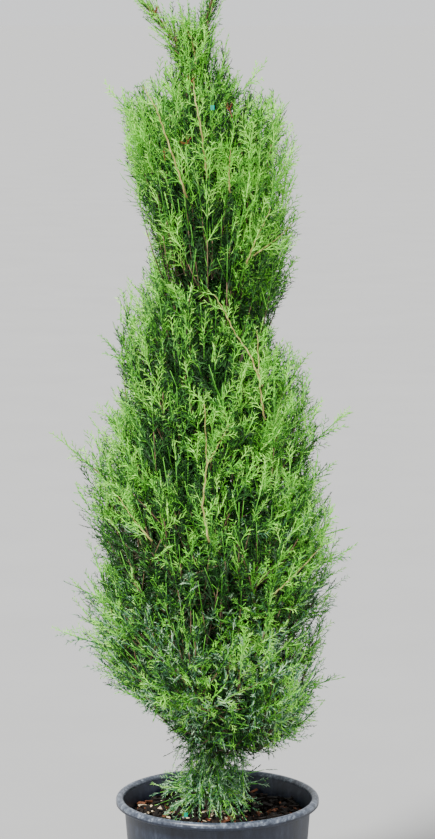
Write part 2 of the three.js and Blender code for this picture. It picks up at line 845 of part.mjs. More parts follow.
function footParts(group, looks, trunkGap) {
  FOOT_SPRAYS.forEach((spec, index) => {
    const centre = trunkCentre(spec.height);
    const flat = outward(spec.azimuth * DEGREE, 0);
    const from = centre.clone().addScaledVector(flat, trunkRadius(spec.height) * 0.8);
    const to = from.clone().addScaledVector(flat, spec.stem);
    to.z -= spec.stem * FOOT_SPACE.stemDrop;
    const allowed = (point) => keepsToSector(point, spec.azimuth);
    const tuft = tuftSolid([from, to], spec, seededRandom(FOOT_SPACE.seed + index), allowed, []);
    addMesh(group, "foliage_foot_" + spec.name, finished(tuft.subtract(trunkGap)), looks.foliage);
  });
}

// The leader's sprays keep above the lobe, but for what leaves the leader close to its fork.
function clearOfLobe(point) {
  const fork = trunkCentre(TRUNK.tipHeight);
  const aside = Math.hypot(point.x - fork.x, point.y - fork.y);
  return point.z > CROWN.top + SPRAY.margin || (aside < LEADER_CLEAR && point.z > fork.z);
}

// Foot sprays keep over the soil, to their own third of the pot, and under the lowest masses.
function keepsToSector(point, azimuth) {
  const centre = trunkCentre(point.z);
  const dx = point.x - centre.x;
  const dy = point.y - centre.y;
  const turn = Math.atan2(dy, dx) - azimuth * DEGREE;
  const away = Math.abs(Math.atan2(Math.sin(turn), Math.cos(turn)));
  const distance = Math.hypot(dx, dy);
  const within = distance < FOOT_SPACE.nearTrunk || away < FOOT_SPACE.halfAngle;
  const inHeight =
    point.z > SOIL.level + FOOT_SPACE.overSoil && point.z < CROWN.foot - FOOT_SPACE.belowCrown;
  return within && inHeight && distance < FOOT_SPACE.reach;
}

// ---------------------------------------------------------------- the whole plant

function buildPlant() {
  const group = new THREE.Group();
  const looks = {
    pot: material(COLOURS.pot, 0.5),
    soil: material(COLOURS.soil, 0.95),
    bark: material(COLOURS.bark, 0.85),
    foliage: material(COLOURS.foliage, 0.7),
    young: material(COLOURS.young, 0.7),
  };
  addMesh(group, "pot", potGeometry(), looks.pot);
  addMesh(group, "soil", soilGeometry(), looks.soil);
  addMesh(group, "trunk", trunkGeometry(0), looks.bark);
  const trunkGap = solidOf(trunkGeometry(CLEARANCE));
  const trunkSpace = solidOf(trunkGeometry(TRUNK_SPACE));
  massList().forEach((mass, index) => {
    addMesh(group, "bough_" + mass.name, finished(boughLimb(mass, 0).subtract(trunkGap)), looks.bark);
    addMesh(group, "foliage_" + mass.name, finished(massSolid(mass, index, trunkSpace)), looks.foliage);
  });
  leaderParts(group, looks, trunkGap);
  footParts(group, looks, trunkGap);
  return group;
}

const group = buildPlant();

export default group;
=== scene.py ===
"""The looks of a spiral topiary juniper in a nursery pot. Metres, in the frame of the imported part.

The crown is a band of foliage that winds down round the trunk, left-handed, under a full lobe and a
forked leader. Trunk and boughs get bark, each mass of foliage is grown again by the solids' rule as
plumes of fine sprays, and the pot and its potting mix are made finely.
"""
import math

import bpy
import numpy as np
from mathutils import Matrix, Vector


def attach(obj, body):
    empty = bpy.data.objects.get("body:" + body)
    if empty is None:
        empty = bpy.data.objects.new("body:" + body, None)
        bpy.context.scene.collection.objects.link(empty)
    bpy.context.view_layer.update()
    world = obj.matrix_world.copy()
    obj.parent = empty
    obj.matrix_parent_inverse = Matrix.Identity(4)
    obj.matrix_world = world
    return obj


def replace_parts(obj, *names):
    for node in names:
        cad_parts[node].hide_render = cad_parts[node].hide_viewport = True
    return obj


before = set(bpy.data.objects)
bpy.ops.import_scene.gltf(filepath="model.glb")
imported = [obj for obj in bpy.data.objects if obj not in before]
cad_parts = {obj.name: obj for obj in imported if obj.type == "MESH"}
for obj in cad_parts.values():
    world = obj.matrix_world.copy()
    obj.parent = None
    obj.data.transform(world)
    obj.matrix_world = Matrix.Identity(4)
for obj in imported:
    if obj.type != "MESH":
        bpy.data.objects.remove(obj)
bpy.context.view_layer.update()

TURN = 2 * math.pi
DEGREE = math.pi / 180
GOLDEN_ANGLE = 137.508 * DEGREE
GOLDEN_SHARE = 0.618
UP = np.array([0.0, 0.0, 1.0])

# ------------------------------ measures shared with the solids

POT_HEIGHT = 0.275
POT_RIM_RADIUS = 0.150
POT_LIP = 0.011  # its height and its width
POT_SHOULDER_RADIUS = 0.138
POT_BASE_RADIUS = 0.117
POT_WALL = 0.003

SOIL_LEVEL = 0.249
SOIL_EDGE_DROP = 0.006

TRUNK_FOOT_X, TRUNK_TIP_X = -0.008, -0.032
TRUNK_TIP_HEIGHT = 1.336
TRUNK_SWAY = 0.004
TRUNK_FOOT_RADIUS, TRUNK_TIP_RADIUS = 0.0105, 0.0026
TRUNK_FLARE = 0.0065
TRUNK_FLARE_HEIGHT = 0.016

PITCH = 0.235
GROOVE_AT_LEFT = 1.126  # height of the first groove, at an azimuth of half a turn
CLIMB_FOOT, CLIMB_TOP = 0.4, 0.95  # rise of the groove's surface for each metre outwards
GROOVE_SHARE = 0.8  # of the crown's radius, where the groove has its stated height
FULL_AT = 0.71  # of the crown's height, from where the groove climbs as at the top
BAND_TURNS = 3.56
BAND_FADE_TURNS = 0.55
BAND_END_SHARE = 0.74
CROWN_FOOT, CROWN_TOP = 0.340, 1.340
CROWN_AXIS_X, CROWN_NECK_X = -0.011, -0.031
CROWN_NECK_FROM, CROWN_NECK_TO = 1.250, 1.340
MASS_TURNS = 86 / 360
LOBE_NAMES = ["lobe_back_right", "lobe_back_left", "lobe_front_left", "lobe_front_right"]
SPIRAL_MASSES = 15
BOUGH_SHARE = 0.3  # of the crown's radius, where a bough ends

# ------------------------------ the crown, tuned on from the solids

# Slope of the plumes, which are as steep as at the top from this share of the crown's height on.
STEEP_AT_FOOT, STEEP_AT_TOP = 30 * DEGREE, 66 * DEGREE
STEEPEST_AT = 0.68

# The leader's two halves: azimuth and lean from the vertical, in degrees, and length.
LEADERS = [(180, 35, 0.120), (6, 13, 0.106)]

# Long shoots that stand out of the clipped outline: azimuth in degrees, height of the tip, and
# distance from the crown's axis.
LONG_SHOOTS = [
    (178, 1.306, 0.136), (12, 1.336, 0.102), (178, 0.948, 0.160), (186, 0.852, 0.168),
    (352, 0.850, 0.208), (182, 0.806, 0.226), (357, 0.770, 0.186), (178, 0.728, 0.192),
    (357, 0.645, 0.212), (176, 0.590, 0.216), (2, 0.560, 0.180), (190, 0.532, 0.233),
    (177, 0.462, 0.178), (358, 0.452, 0.184), (90, 0.700, 0.215), (262, 0.640, 0.212),
]

# Height and radius of the outline, from the crown's foot to the leader.
CROWN_OUTLINE = [
    (0.340, 0.074), (0.370, 0.124), (0.400, 0.148), (0.434, 0.153), (0.462, 0.178), (0.500, 0.189),
    (0.560, 0.200), (0.745, 0.196), (0.930, 0.154), (1.000, 0.139), (1.070, 0.131), (1.160, 0.126),
    (1.250, 0.129), (1.292, 0.126), (1.318, 0.104), (1.334, 0.066), (1.340, 0.058), (1.420, 0.030),
]
FOOT_SHIFT = 0.021  # of the crown's axis to the right, at its foot
FOOT_SHIFT_FROM, FOOT_SHIFT_TO = 0.480, 0.420
GROOVE_DEPTH_FOOT, GROOVE_DEPTH_TOP = 0.14, 0.40
DEPTH_CHANGES = (0.84, 0.98)  # between these heights
BAND_WIDEST = 0.72  # of the way down across the band
TAPER = 1.5  # power by which the band's face narrows over its widest
LIP_SHARE = 0.8  # of the groove's depth, cut in at the band's lower edge
LOBE_FLATNESS = 9  # power by which the lobe's face turns in towards the groove

# Hollows between the plumes at the front, dented into the outline and darkened with painted shade,
# and places lightened with painted light: x, height and radius.
HOLLOWS = [
    (-0.062, 1.162, 0.024), (-0.016, 1.135, 0.030), (-0.010, 1.085, 0.022), (-0.069, 0.935, 0.028),
    (-0.014, 0.925, 0.026), (-0.078, 0.811, 0.026), (-0.040, 0.785, 0.022), (0.034, 0.740, 0.024),
    (0.049, 0.693, 0.021), (-0.078, 0.700, 0.030), (-0.137, 0.665, 0.028), (-0.018, 0.628, 0.024),
    (-0.012, 0.553, 0.015), (-0.124, 0.520, 0.020),
]
LIT_PLACES = [
    (0.050, 1.035, 0.030), (0.060, 0.930, 0.028), (0.062, 0.810, 0.028), (0.065, 0.632, 0.022),
    (0.040, 0.520, 0.036), (-0.045, 0.455, 0.030),
]
HOLLOW_DEPTH = 0.28  # of the outline

# Plumes for each square metre of the crown's surface, and how many times as many low down.
PLUMES_PER_AREA = 1240
INNER_PLUMES_PER_AREA = 640
LOW_CROWDING = 1.7
INNER_LOW_CROWDING = 2.5
OUTER_SHARES, INNER_SHARES = (0.76, 0.985), (0.36, 0.74)  # of the outline, where plumes end
PLUME_LENGTH = (0.110, 0.180)
LOW_LENGTH = 0.66  # of the lengths above
PLUME_BEND = (0.35, 0.9)  # at the top and low down, like the two spreads
HEADING_SPREAD = (0.28, 0.60)
SLOPE_SPREAD = (0.13, 0.36)
TONE_SPREAD = 0.22
ROOT_SHARE = 0.72  # of the outline, where a plume may start at most
LOWEST_ROOT = CROWN_FOOT + 0.012
BARE_PLUMES = 0.12  # of the plumes in the band's upper half
BARE_START, USUAL_START = 0.45, 0.08  # of a plume's length, where its sprays begin
FREE = 99.0  # limit of a plume that no outline holds in
LOW_FROM, LOW_TO = 0.92, 0.58  # heights where the low crown's looks begin and are whole
DROOP = 52 * DEGREE  # off the slope of the lowest plumes
DROOP_FROM, DROOP_TO = 0.48, 0.37
EDGE_DROOP, EDGE_DROOP_FROM = 0.5, 0.75  # off the slope at the band's lower edge, in radians
UPWARD_BENDS = (-0.3, 1.0)  # as shares of PLUME_BEND
LIMITS = (0.92, 1.11)  # of the outline, where a plume's sprays may end

OUTLINE_SLACK = 0.004  # by which a spray may pass its limit
SPRAY_SPACING = 0.0115
SPRAY_SPREAD = 34 * DEGREE
SPREAD_TAPER, SPRAY_TAPER = (1.1, 0.7), 0.55  # from a plume's root to its tip
SPRAY_LENGTHS = (0.018, 0.062)
SPRAY_SIZES = (0.056, 0.040, 0.026)
SPRAY_VARIANTS = 5
CORD_WIDTH = 0.0017
BRANCHLET_WIDTH = 0.0015
BRANCHLET_ANGLE = 33 * DEGREE
BRANCHLET_FACES = np.array([[0, 1, 3], [1, 2, 3], [2, 0, 3]])  # the foot, sunk in a cord, is open
MOST_BRANCHLETS = 60000  # in one joined piece

COLUMN_PLUMES, COLUMN_LENGTHS = 76, (0.06, 0.095)
# From the foot of the plumes round the leader to their top.
COLUMN_X, COLUMN_HEIGHTS, COLUMN_RADII = (-0.020, -0.040), (1.325, 1.425), (0.054, 0.026)
TUFT_PLUMES, TUFT_LENGTHS = 28, (0.040, 0.058)
TUFT_FROM = 0.24  # of each half of the leader
FOOT_PLUMES, FOOT_LENGTHS = 230, (0.024, 0.046)
FOOT_HEIGHTS = (0.262, 0.392)
FOOT_WIDTHS = [(0.262, 0.034), (0.290, 0.024), (0.340, 0.030), (0.392, 0.060)]  # height, radius
HANGING_SPRAY = (0.034, -0.03, 0.345), (0.17, -0.1, -0.98), 0.075  # root, direction, length

# ------------------------------ colours and small things

# Kinds of spray, from the crown's inside to its tips, then two that are bluer and greyer for the
# low sprays, and a dead one: base colour, and the darker and the lighter kind that some strands of
# a spray are dealt.
SPRAY_KINDS = {
    "shade": ((0.006, 0.038, 0.005), "shade", "deep"),
    "deep": ((0.040, 0.166, 0.026), "shade", "bright"),
    "leaf": ((0.108, 0.430, 0.030), "deep", "tip"),
    "bright": ((0.205, 0.680, 0.040), "leaf", "tip"),
    "tip": ((0.370, 0.880, 0.120), "bright", "tip"),
    "blue": ((0.068, 0.200, 0.105), "shade", "grey"),
    "grey": ((0.400, 0.640, 0.370), "blue", "tip"),
    "brown": ((0.190, 0.052, 0.018), "brown", "brown"),
}
KIND_NAMES = list(SPRAY_KINDS)
SHADE, DEEP, LEAF, BRIGHT, TIP, BLUE, GREY, BROWN = range(len(KIND_NAMES))
STRAND_SHARES = (0.40, 0.39, 0.21)  # of darker, alike and lighter strands

# Lightness at which the next kind begins. A spray's lightness starts as its share of the outline.
KIND_STEPS = [0.68, 0.86, 1.01, 1.17]
YOUNG_STEPS = [0.34, 0.52, 0.70, 0.93]
FOOT_STEPS = [0.24, 0.36, 0.50]

# What is added to a spray's lightness.
TIP_LIGHT = 0.12  # from a plume's root to its tip
PATCH_LIGHT = 0.09
LIGHT_SPREAD = 0.09
EDGE_SHADE = 0.16  # at the band's lower edge
LIFT_TOP, LIFT_LOW = 0.08, 0.03
# Painted shade taken off a spray's lightness in the hollows, and painted light added at the lit places.
HOLLOW_SHADE, LIT_LIGHT = 0.40, 0.22
TOP_LIT_FROM = 1.255  # the lobe's sprays over this are dealt lighter kinds, painted light from above
FOOT_LIGHT, FOOT_LIGHT_FROM, FOOT_LIGHT_OVER = 0.07, 0.62, 0.12
BLUE_SHARE, GREY_SHARE = 0.75, 0.48  # of the lowest darker and of the lowest lighter sprays
BLUE_FROM, BLUE_OVER = 0.80, 0.42

# Long pale stems at the front: radius at the foot, then points of (x, height) from foot to tip.
STEMS = [
    (0.0018, (-0.0294, 1.336), (-0.032, 1.361), (-0.037, 1.384), (-0.052, 1.408)),
    (0.0017, (-0.043, 1.165), (-0.056, 1.205), (-0.076, 1.262), (-0.086, 1.290), (-0.106, 1.318)),
    (0.0014, (0.017, 1.172), (0.016, 1.200), (0.018, 1.232)),
    (0.0016, (-0.014, 1.193), (-0.023, 1.262), (-0.032, 1.306), (-0.036, 1.342)),
    (0.0015, (0.040, 1.070), (0.054, 1.105), (0.075, 1.148)),
    (0.0013, (0.050, 1.082), (0.078, 1.100), (0.108, 1.122)),
    (0.0015, (0.062, 0.902), (0.046, 0.945), (0.024, 0.975), (0.010, 1.003), (-0.004, 1.026)),
    (0.0018, (-0.012, 0.690), (-0.021, 0.740), (-0.015, 0.795), (-0.018, 0.880)),
    (0.0012, (-0.017, 0.790), (0.004, 0.826), (0.016, 0.850)),
    (0.0014, (0.066, 0.855), (0.059, 0.905), (0.056, 0.975)),
    (0.0014, (-0.092, 0.688), (-0.118, 0.716), (-0.140, 0.745)),
    (0.0013, (0.080, 0.610), (0.108, 0.634), (0.150, 0.668)),
]
STEM_DEPTH = 0.92  # of the outline
STEM_SPRAYS, STEM_SPRAY_LENGTHS = 9, (0.018, 0.040)
STEM_ZIGZAG = 0.0007  # to either side
NECK_FROM, NECK_TO = 1.300, 1.334  # the stems close in on the leader between these heights
NECK_REACH = 0.016  # in front of the leader

# Radii of the limbs at foot and tip.
BOUGH_RADII = (0.0046, 0.0018)
SIDE_BOUGH_RADII = (0.0014, 0.0008)
LEADER_RADII = (0.0020, 0.0008)
TWIG_RADII, GREEN_RADII = (0.0011, 0.0008), (0.0008, 0.0005)
TRUNK_SIDES, TRUNK_RINGS = 32, 170

# Dead brown tips at the front: x and height.
BROWN_TIPS = [(-0.088, 1.420), (-0.039, 1.322), (-0.042, 1.240), (-0.075, 1.226), (0.016, 1.287)]
BROWN_LENGTH = 0.013

# Bits of tie tape: x, distance in front of the crown's axis, height.
TAPES = [(-0.007, 0.118, 1.290), (-0.028, 0.120, 0.480), (-0.046, 0.058, 0.262)]
TAPE_SIZE = (0.0055, 0.0010, 0.0065)

POT_SIDES = 96
POT_ROUNDING = 0.003  # of its foot and under its lip
LIP_STEPS = 18
SOIL_RINGS, SOIL_SIDES = 56, 120
SOIL_RIPPLES = 16
SOIL_GAP = 0.0005  # to the pot's wall

# Litter on the mix: piece, material, dark and light colour, then count, lengths, thickness and
# widths as shares of the length, and the centre and spread of the places.
LITTER = [
    ("bark_chips_red", "bark_chips_red", (0.014, 0.004, 0.002), (0.26, 0.095, 0.045),
     150, (0.006, 0.021), 0.16, (0.2, 0.6), (0, 0), 1.0),
    ("bark_chips_dark", "bark_chips_dark", (0.001, 0.001, 0.001), (0.016, 0.010, 0.007),
     820, (0.005, 0.018), 0.30, (0.2, 0.6), (0, 0), 1.0),
    ("perlite_specks", "perlite", (0.50, 0.50, 0.48), (0.85, 0.85, 0.82),
     30, (0.0016, 0.0038), 0.8, (0.2, 0.6), (-0.05, -0.03), 0.7),
    ("straws", "straw", (0.34, 0.25, 0.14), (0.78, 0.66, 0.46),
     130, (0.008, 0.026), 0.06, (0.10, 0.24), (-0.055, -0.02), 0.75),
]
LITTER_TILT = 0.28
BARE_ROUND_TRUNK, BARE_AT_WALL = 0.020, 0.009  # where no litter lies

CAMERA_DISTANCE = 4.0
CAMERA_HEIGHT = 1.42
CAMERA_PITCH = 8.3 * DEGREE
IMAGE_HEIGHT, FOCAL_PIXELS = 839, 2788  # of the photograph, in pixels


# ------------------------------ materials


def noise_output(tree, scale, detail, roughness=0.55, stretch=None):
    """Noise in the object's own coordinates, stretched along each axis if asked."""
    noise = tree.nodes.new("ShaderNodeTexNoise")
    noise.inputs["Scale"].default_value = scale
    noise.inputs["Detail"].default_value = detail
    noise.inputs["Roughness"].default_value = roughness
    source = tree.nodes.new("ShaderNodeTexCoord").outputs["Object"]
    if stretch:
        mapping = tree.nodes.new("ShaderNodeMapping")
        mapping.inputs["Scale"].default_value = stretch
        tree.links.new(source, mapping.inputs["Vector"])
        source = mapping.outputs["Vector"]
    tree.links.new(source, noise.inputs["Vector"])
    return noise.outputs["Fac"]


def ramp_output(tree, source, stops):
    """The colour of a ramp with (position, colour) stops."""
    ramp = tree.nodes.new("ShaderNodeValToRGB")
    elements = ramp.color_ramp.elements
    while len(elements) < len(stops):
        elements.new(0.5)
    for element, (position, colour) in zip(elements, stops):
        element.position = position
        element.color = (*colour, 1.0)
    tree.links.new(source, ramp.inputs["Fac"])
    return ramp.outputs["Color"]


def add_relief(tree, source, distance, strength):
    """Relief of the surface from a height."""
    bump = tree.nodes.new("ShaderNodeBump")
    bump.inputs["Distance"].default_value = distance
    bump.inputs["Strength"].default_value = strength
    tree.links.new(source, bump.inputs["Height"])
    tree.links.new(bump.outputs["Normal"], tree.nodes["Principled BSDF"].inputs["Normal"])


def mottled(name, noise, stops, roughness, specular=0.5, relief=None):
    """A material whose colour, and whose relief if it has one, follow a noise."""
    material = bpy.data.materials.new(name)
    material.use_nodes = True
    tree = material.node_tree
    inputs = tree.nodes["Principled BSDF"].inputs
    source = noise_output(tree, *noise)
    tree.links.new(ramp_output(tree, source, stops), inputs["Base Color"])
    inputs["Roughness"].default_value = roughness
    inputs["Specular IOR Level"].default_value = specular
    if relief:
        add_relief(tree, source, *relief)
    return material


def foliage_material(kind):
    """Matt scale leaves: a plain colour, finely mottled by the scales."""
    colour = np.array(SPRAY_KINDS[kind][0])
    stops = [(0.3, colour * 0.72), (0.7, np.minimum(colour * 1.28, 1))]
    return mottled("foliage_" + kind, (420, 2), stops, 0.55, 0.35)


def bark_material(name, dark, middle, light, scale):
    """Thin stringy bark: fibres that run up the limb, peeling a little."""
    stops = [(0.32, dark), (0.5, middle), (0.68, light)]
    return mottled(name, (scale, 6, 0.65, (1.0, 1.0, 0.12)), stops, 0.85, relief=(0.0015, 0.8))


def pot_material():
    """Black moulded polyethylene: satin, a little dusty and scuffed."""
    stops = [(0.38, (0.002, 0.004, 0.012)), (0.53, (0.011, 0.016, 0.032)), (0.7, (0.038, 0.047, 0.07))]
    material = mottled("pot_plastic", (60, 9, 0.8, (1.0, 1.0, 0.3)), stops, 0.5)
    tree = material.node_tree
    rough = tree.nodes.new("ShaderNodeMapRange")
    rough.inputs["To Min"].default_value = 0.33
    rough.inputs["To Max"].default_value = 0.52
    tree.links.new(tree.nodes["Noise Texture"].outputs["Fac"], rough.inputs["Value"])
    tree.links.new(rough.outputs["Result"], tree.nodes["Principled BSDF"].inputs["Roughness"])
    add_relief(tree, noise_output(tree, 900, 3), 0.0003, 0.25)
    return material


def lip_dust_and_highlight_material():
    """The lip's plastic, rubbed pale and dusty by handling, its paleness partly a painted highlight."""
    # the pale end of the ramp is dust and wear, and partly a painted highlight
    stops = [(0.36, (0.010, 0.014, 0.026)), (0.52, (0.060, 0.074, 0.104)), (0.68, (0.260, 0.300, 0.360))]
    return mottled("pot_lip_dust_and_highlight", (120, 8, 0.75), stops, 0.34)


def soil_material():
    """Damp dark potting mix."""
    stops = [(0.35, (0.001, 0.001, 0.001)), (0.55, (0.004, 0.003, 0.002)), (0.75, (0.03, 0.019, 0.012))]
    return mottled("potting_mix", (160, 8, 0.7), stops, 0.9, 0.12, (0.003, 1.0))


def chip_material(name, dark, light, roughness=0.8):
    """Chips and specks that lie on the mix, mottled."""
    return mottled(name, (130, 5, 0.6), [(0.35, dark), (0.68, light)], roughness, 0.2)


def floor_material():
    """A plain pale studio floor, barely mottled."""
    stops = [(0.3, (0.333, 0.335, 0.338)), (0.7, (0.352, 0.355, 0.358))]
    return mottled("studio_floor", (3, 4), stops, 0.9)


# ------------------------------ meshes from arrays


def make_object(name, points, faces, material, smooth=True):
    """A mesh object of triangles or quads from arrays, riding on the plant's one body."""
    points = np.asarray(points, np.float32).reshape(-1, 3)
    faces = np.asarray(faces, np.int32)
    mesh = bpy.data.meshes.new(name)
    mesh.vertices.add(len(points))
    mesh.vertices.foreach_set("co", points.ravel())
    mesh.loops.add(faces.size)
    mesh.loops.foreach_set("vertex_index", faces.ravel())
    mesh.polygons.add(len(faces))
    mesh.polygons.foreach_set("loop_start", np.arange(len(faces), dtype=np.int32) * faces.shape[1])
    mesh.polygons.foreach_set("use_smooth", np.full(len(faces), smooth))
    mesh.update(calc_edges=True)
    mesh.validate()
    mesh.materials.append(material)
    made = bpy.data.objects.new(name, mesh)
    bpy.context.scene.collection.objects.link(made)
    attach(made, "root")
    return made


def unit(vectors):
    """Vectors scaled to length one."""
    return vectors / np.maximum(np.linalg.norm(vectors, axis=-1, keepdims=True), 1e-9)


def stacked(*axes):
    """Points from their coordinates, or faces from their corners."""
    return np.stack(np.broadcast_arrays(*axes), -1)


def polar(angle, radius, height, x=0.0, y=0.0):
    """Points at an angle and a distance from an upright line at x and y."""
    return stacked(x + radius * np.cos(angle), y + radius * np.sin(angle), height)


def turns(sides):
    """The angles of a ring's points."""
    return np.arange(sides) * TURN / sides


def frames_along(directions, hint):
    """For each direction, two unit vectors square to it and to each other."""
    across = unit(np.cross(directions, hint))
    return across, np.cross(directions, across)


def tube_faces(sides, steps, tubes=1):
    """The triangles of closed tubes whose rings of points follow one another."""
    side = np.arange(sides)
    after = (side + 1) % sides
    faces = []
    for low in np.arange(steps - 1) * sides:
        high = low + sides
        faces.append(stacked(low + side, low + after, high + after))
        faces.append(stacked(low + side, high + after, high + side))
    fan = side[1:-1]
    end = (steps - 1) * sides
    faces.append(stacked(0, fan + 1, fan))
    faces.append(stacked(end, fan + end, fan + 1 + end))
    starts = np.arange(tubes) * steps * sides
    return (np.concatenate(faces)[None] + starts[:, None, None]).reshape(-1, 3)


class TubeSet:
    """Many tapering closed tubes, gathered into one mesh of triangles."""

    def __init__(self, sides):
        self.sides = sides
        self.points = []
        self.faces = []
        self.count = 0

    def add(self, paths, radii):
        """Adds tubes: paths is (tubes, steps, 3) and radii is (tubes, steps)."""
        tubes, steps, _ = paths.shape
        across, over = frames_along(unit(np.gradient(paths, axis=1)), [0.31, 0.87, 0.12])
        turn = turns(self.sides)[:, None]
        ring = across[:, :, None] * np.cos(turn) + over[:, :, None] * np.sin(turn)
        points = paths[:, :, None] + ring * radii[:, :, None, None]
        self.points.append(points.reshape(-1, 3))
        self.faces.append(tube_faces(self.sides, steps, tubes) + self.count)
        self.count += tubes * steps * self.sides

    def build(self, name, material, slot_name):
        """The gathered tubes as one object."""
        points = np.concatenate(self.points)
        return make_object(name, points, np.concatenate(self.faces), material)


# ------------------------------ the crown's rule


def smooth_step(share):
    """Eases a share from 0 to 1."""
    share = np.clip(share, 0, 1)
    return share * share * (3 - 2 * share)


def rise(value, start, end):
    """Eases from 0 to 1 as a value goes from start to end."""
    return smooth_step((value - start) / (end - start))


def mix(low, high, share):
    """The value a share of the way from low to high."""
    return low + (high - low) * share


def crown_share(height):
    """How far up the crown a height is."""
    return (height - CROWN_FOOT) / (CROWN_TOP - CROWN_FOOT)


def crown_radius(height):
    """The crown's radius at a height."""
    return np.interp(height, *np.array(CROWN_OUTLINE).T)


def axis_x(height):
    """The crown's axis, which moves over to the leader at the neck and to the right at the foot."""
    neck = rise(height, CROWN_NECK_FROM, CROWN_NECK_TO)
    foot = rise(height, FOOT_SHIFT_FROM, FOOT_SHIFT_TO)
    return mix(CROWN_AXIS_X, CROWN_NECK_X, neck) + FOOT_SHIFT * foot


def climb_at(height):
    """The groove's rise for each metre outwards."""
    return mix(CLIMB_FOOT, CLIMB_TOP, smooth_step(crown_share(height) / FULL_AT))


def groove_surface(angle, radius):
    """Height of the groove at an unrolled angle (azimuth plus a turn for each turn) and radius."""
    height = GROOVE_AT_LEFT - PITCH * (angle - math.pi) / TURN
    return height + climb_at(height) * (radius - GROOVE_SHARE * crown_radius(height))


def band_floor(angle, radius):
    """Height of the next turn's groove, where the band ends."""
    return np.maximum(groove_surface(angle + TURN, radius), CROWN_FOOT)


def groove_depth(height):
    """How deep the groove cuts into the outline, as a share."""
    return mix(GROOVE_DEPTH_FOOT, GROOVE_DEPTH_TOP, rise(height, *DEPTH_CHANGES))


def nearness(points, places):
    """How near each point of the crown's front lies to any of the places, from 0 to 1."""
    nearest = np.zeros(len(points))
    for x, height, radius in places:
        away = ((points[:, 0] - x) ** 2 + (points[:, 2] - height) ** 2) / radius**2
        nearest = np.maximum(nearest, np.exp(-0.7 * away))
    return nearest * (points[:, 1] < 0)


def band_outline(angle, height, across):
    """The outline's radius across the band, 0 at its upper edge and 1 at its lower edge."""
    fade = smooth_step((BAND_TURNS - angle / TURN) / BAND_FADE_TURNS)
    above = np.clip(1 - across / BAND_WIDEST, 0, 1) ** TAPER
    under = LIP_SHARE * np.clip((across - BAND_WIDEST) / (1 - BAND_WIDEST), 0, 1) ** 2
    bulge = 1 - groove_depth(height) * (above + under)
    return crown_radius(height) * bulge * mix(BAND_END_SHARE, 1, fade)


def lobe_outline(height, across):
    """The outline's radius of the lobe above the first groove."""
    return crown_radius(height) * (1 - groove_depth(height) * across**LOBE_FLATNESS)


def outline_at(points):
    """The outline's radius in each point's direction, its distance from the axis and its place
    across the band."""
    height = points[..., 2]
    dx = points[..., 0] - axis_x(height)
    radius = np.hypot(dx, points[..., 1])
    azimuth = np.arctan2(points[..., 1], dx) % TURN
    across = (CROWN_TOP - height) / np.maximum(CROWN_TOP - groove_surface(azimuth, radius), 1e-4)
    outline = lobe_outline(height, np.clip(across, 0, 1))
    for turn in range(math.ceil(BAND_TURNS)):
        angle = azimuth + TURN * turn
        upper, lower = groove_surface(angle, radius), band_floor(angle, radius)
        inside = (height <= upper) & (height > lower - 1e-6)
        place = np.clip((upper - height) / np.maximum(upper - lower, 1e-4), 0, 1)
        outline = np.where(inside, band_outline(angle, height, place), outline)
        across = np.where(inside, place, across)
    return outline, radius, np.clip(across, 0, 1)


def point_at(angle, radius, height):
    """A point of the crown by angle, distance from the axis and height."""
    return polar(angle, radius, height, axis_x(height))


def outward(angle, slope):
    """The direction that leaves the axis at an angle, with a slope."""
    return polar(angle, np.cos(slope), np.sin(slope))


def steepness(height):
    """Slope of the plumes: nearly upright at the top of the plant, spreading low down."""
    return mix(STEEP_AT_FOOT, STEEP_AT_TOP, smooth_step(crown_share(height) / STEEPEST_AT))


def trunk_share(height):
    """How far up the trunk a height is."""
    return (height - SOIL_LEVEL) / (TRUNK_TIP_HEIGHT - SOIL_LEVEL)


def trunk_centre(height):
    """The trunk's centre line."""
    share = trunk_share(height)
    x = mix(TRUNK_FOOT_X, TRUNK_TIP_X, np.maximum(share, 0) ** 2.2)
    x = x + TRUNK_SWAY * np.sin(share * TURN)
    y = TRUNK_SWAY * np.sin(share * TURN * 0.8 + 1) - TRUNK_SWAY * math.sin(1)
    return stacked(x, y, height)


def trunk_radius(height):
    """The trunk's radius, with its flare at the foot."""
    share = np.clip(trunk_share(height), 0, 1)
    flare = TRUNK_FLARE * np.exp(-(height - SOIL_LEVEL) / TRUNK_FLARE_HEIGHT)
    return mix(TRUNK_FOOT_RADIUS, TRUNK_TIP_RADIUS, share**0.9) + flare


# ------------------------------ masses and their boughs


def mass_list():
    """The masses' names, kinds and angles, in the order of the solids."""
    masses = []
    spiral_names = ["spiral_%02d" % (i + 1) for i in range(SPIRAL_MASSES)]
    for lobe, names in ((True, LOBE_NAMES), (False, spiral_names)):
        step = TURN / len(names) if lobe else MASS_TURNS * TURN
        for i, name in enumerate(names):
            masses.append({"name": name, "lobe": lobe, "from": i * step, "to": (i + 1) * step,
                           "middle": (i + 0.5) * step})
    return masses


def mass_point(mass, angle, across, share):
    """The point of a mass at an angle, a place across it and a share of its outline. Its height and
    radius depend on each other, so a few rounds settle them."""
    radius = np.full(np.shape(angle + across + share), 0.1)
    for _ in range(5):
        if mass["lobe"]:
            height = mix(CROWN_TOP, groove_surface(angle, radius), across)
            radius = share * lobe_outline(height, across)
        else:
            height = mix(groove_surface(angle, radius), band_floor(angle, radius), across)
            radius = share * band_outline(angle, height, across)
    return point_at(angle, radius, height)


def mass_area(mass):
    """Roughly the area of the mass's outer face."""
    top, middle, foot = [mass_point(mass, mass["middle"], across, 1.0) for across in (0.0, 0.5, 1.0)]
    radius = math.hypot(middle[0] - CROWN_AXIS_X, middle[1])
    return radius * (mass["to"] - mass["from"]) * (top[2] - foot[2])


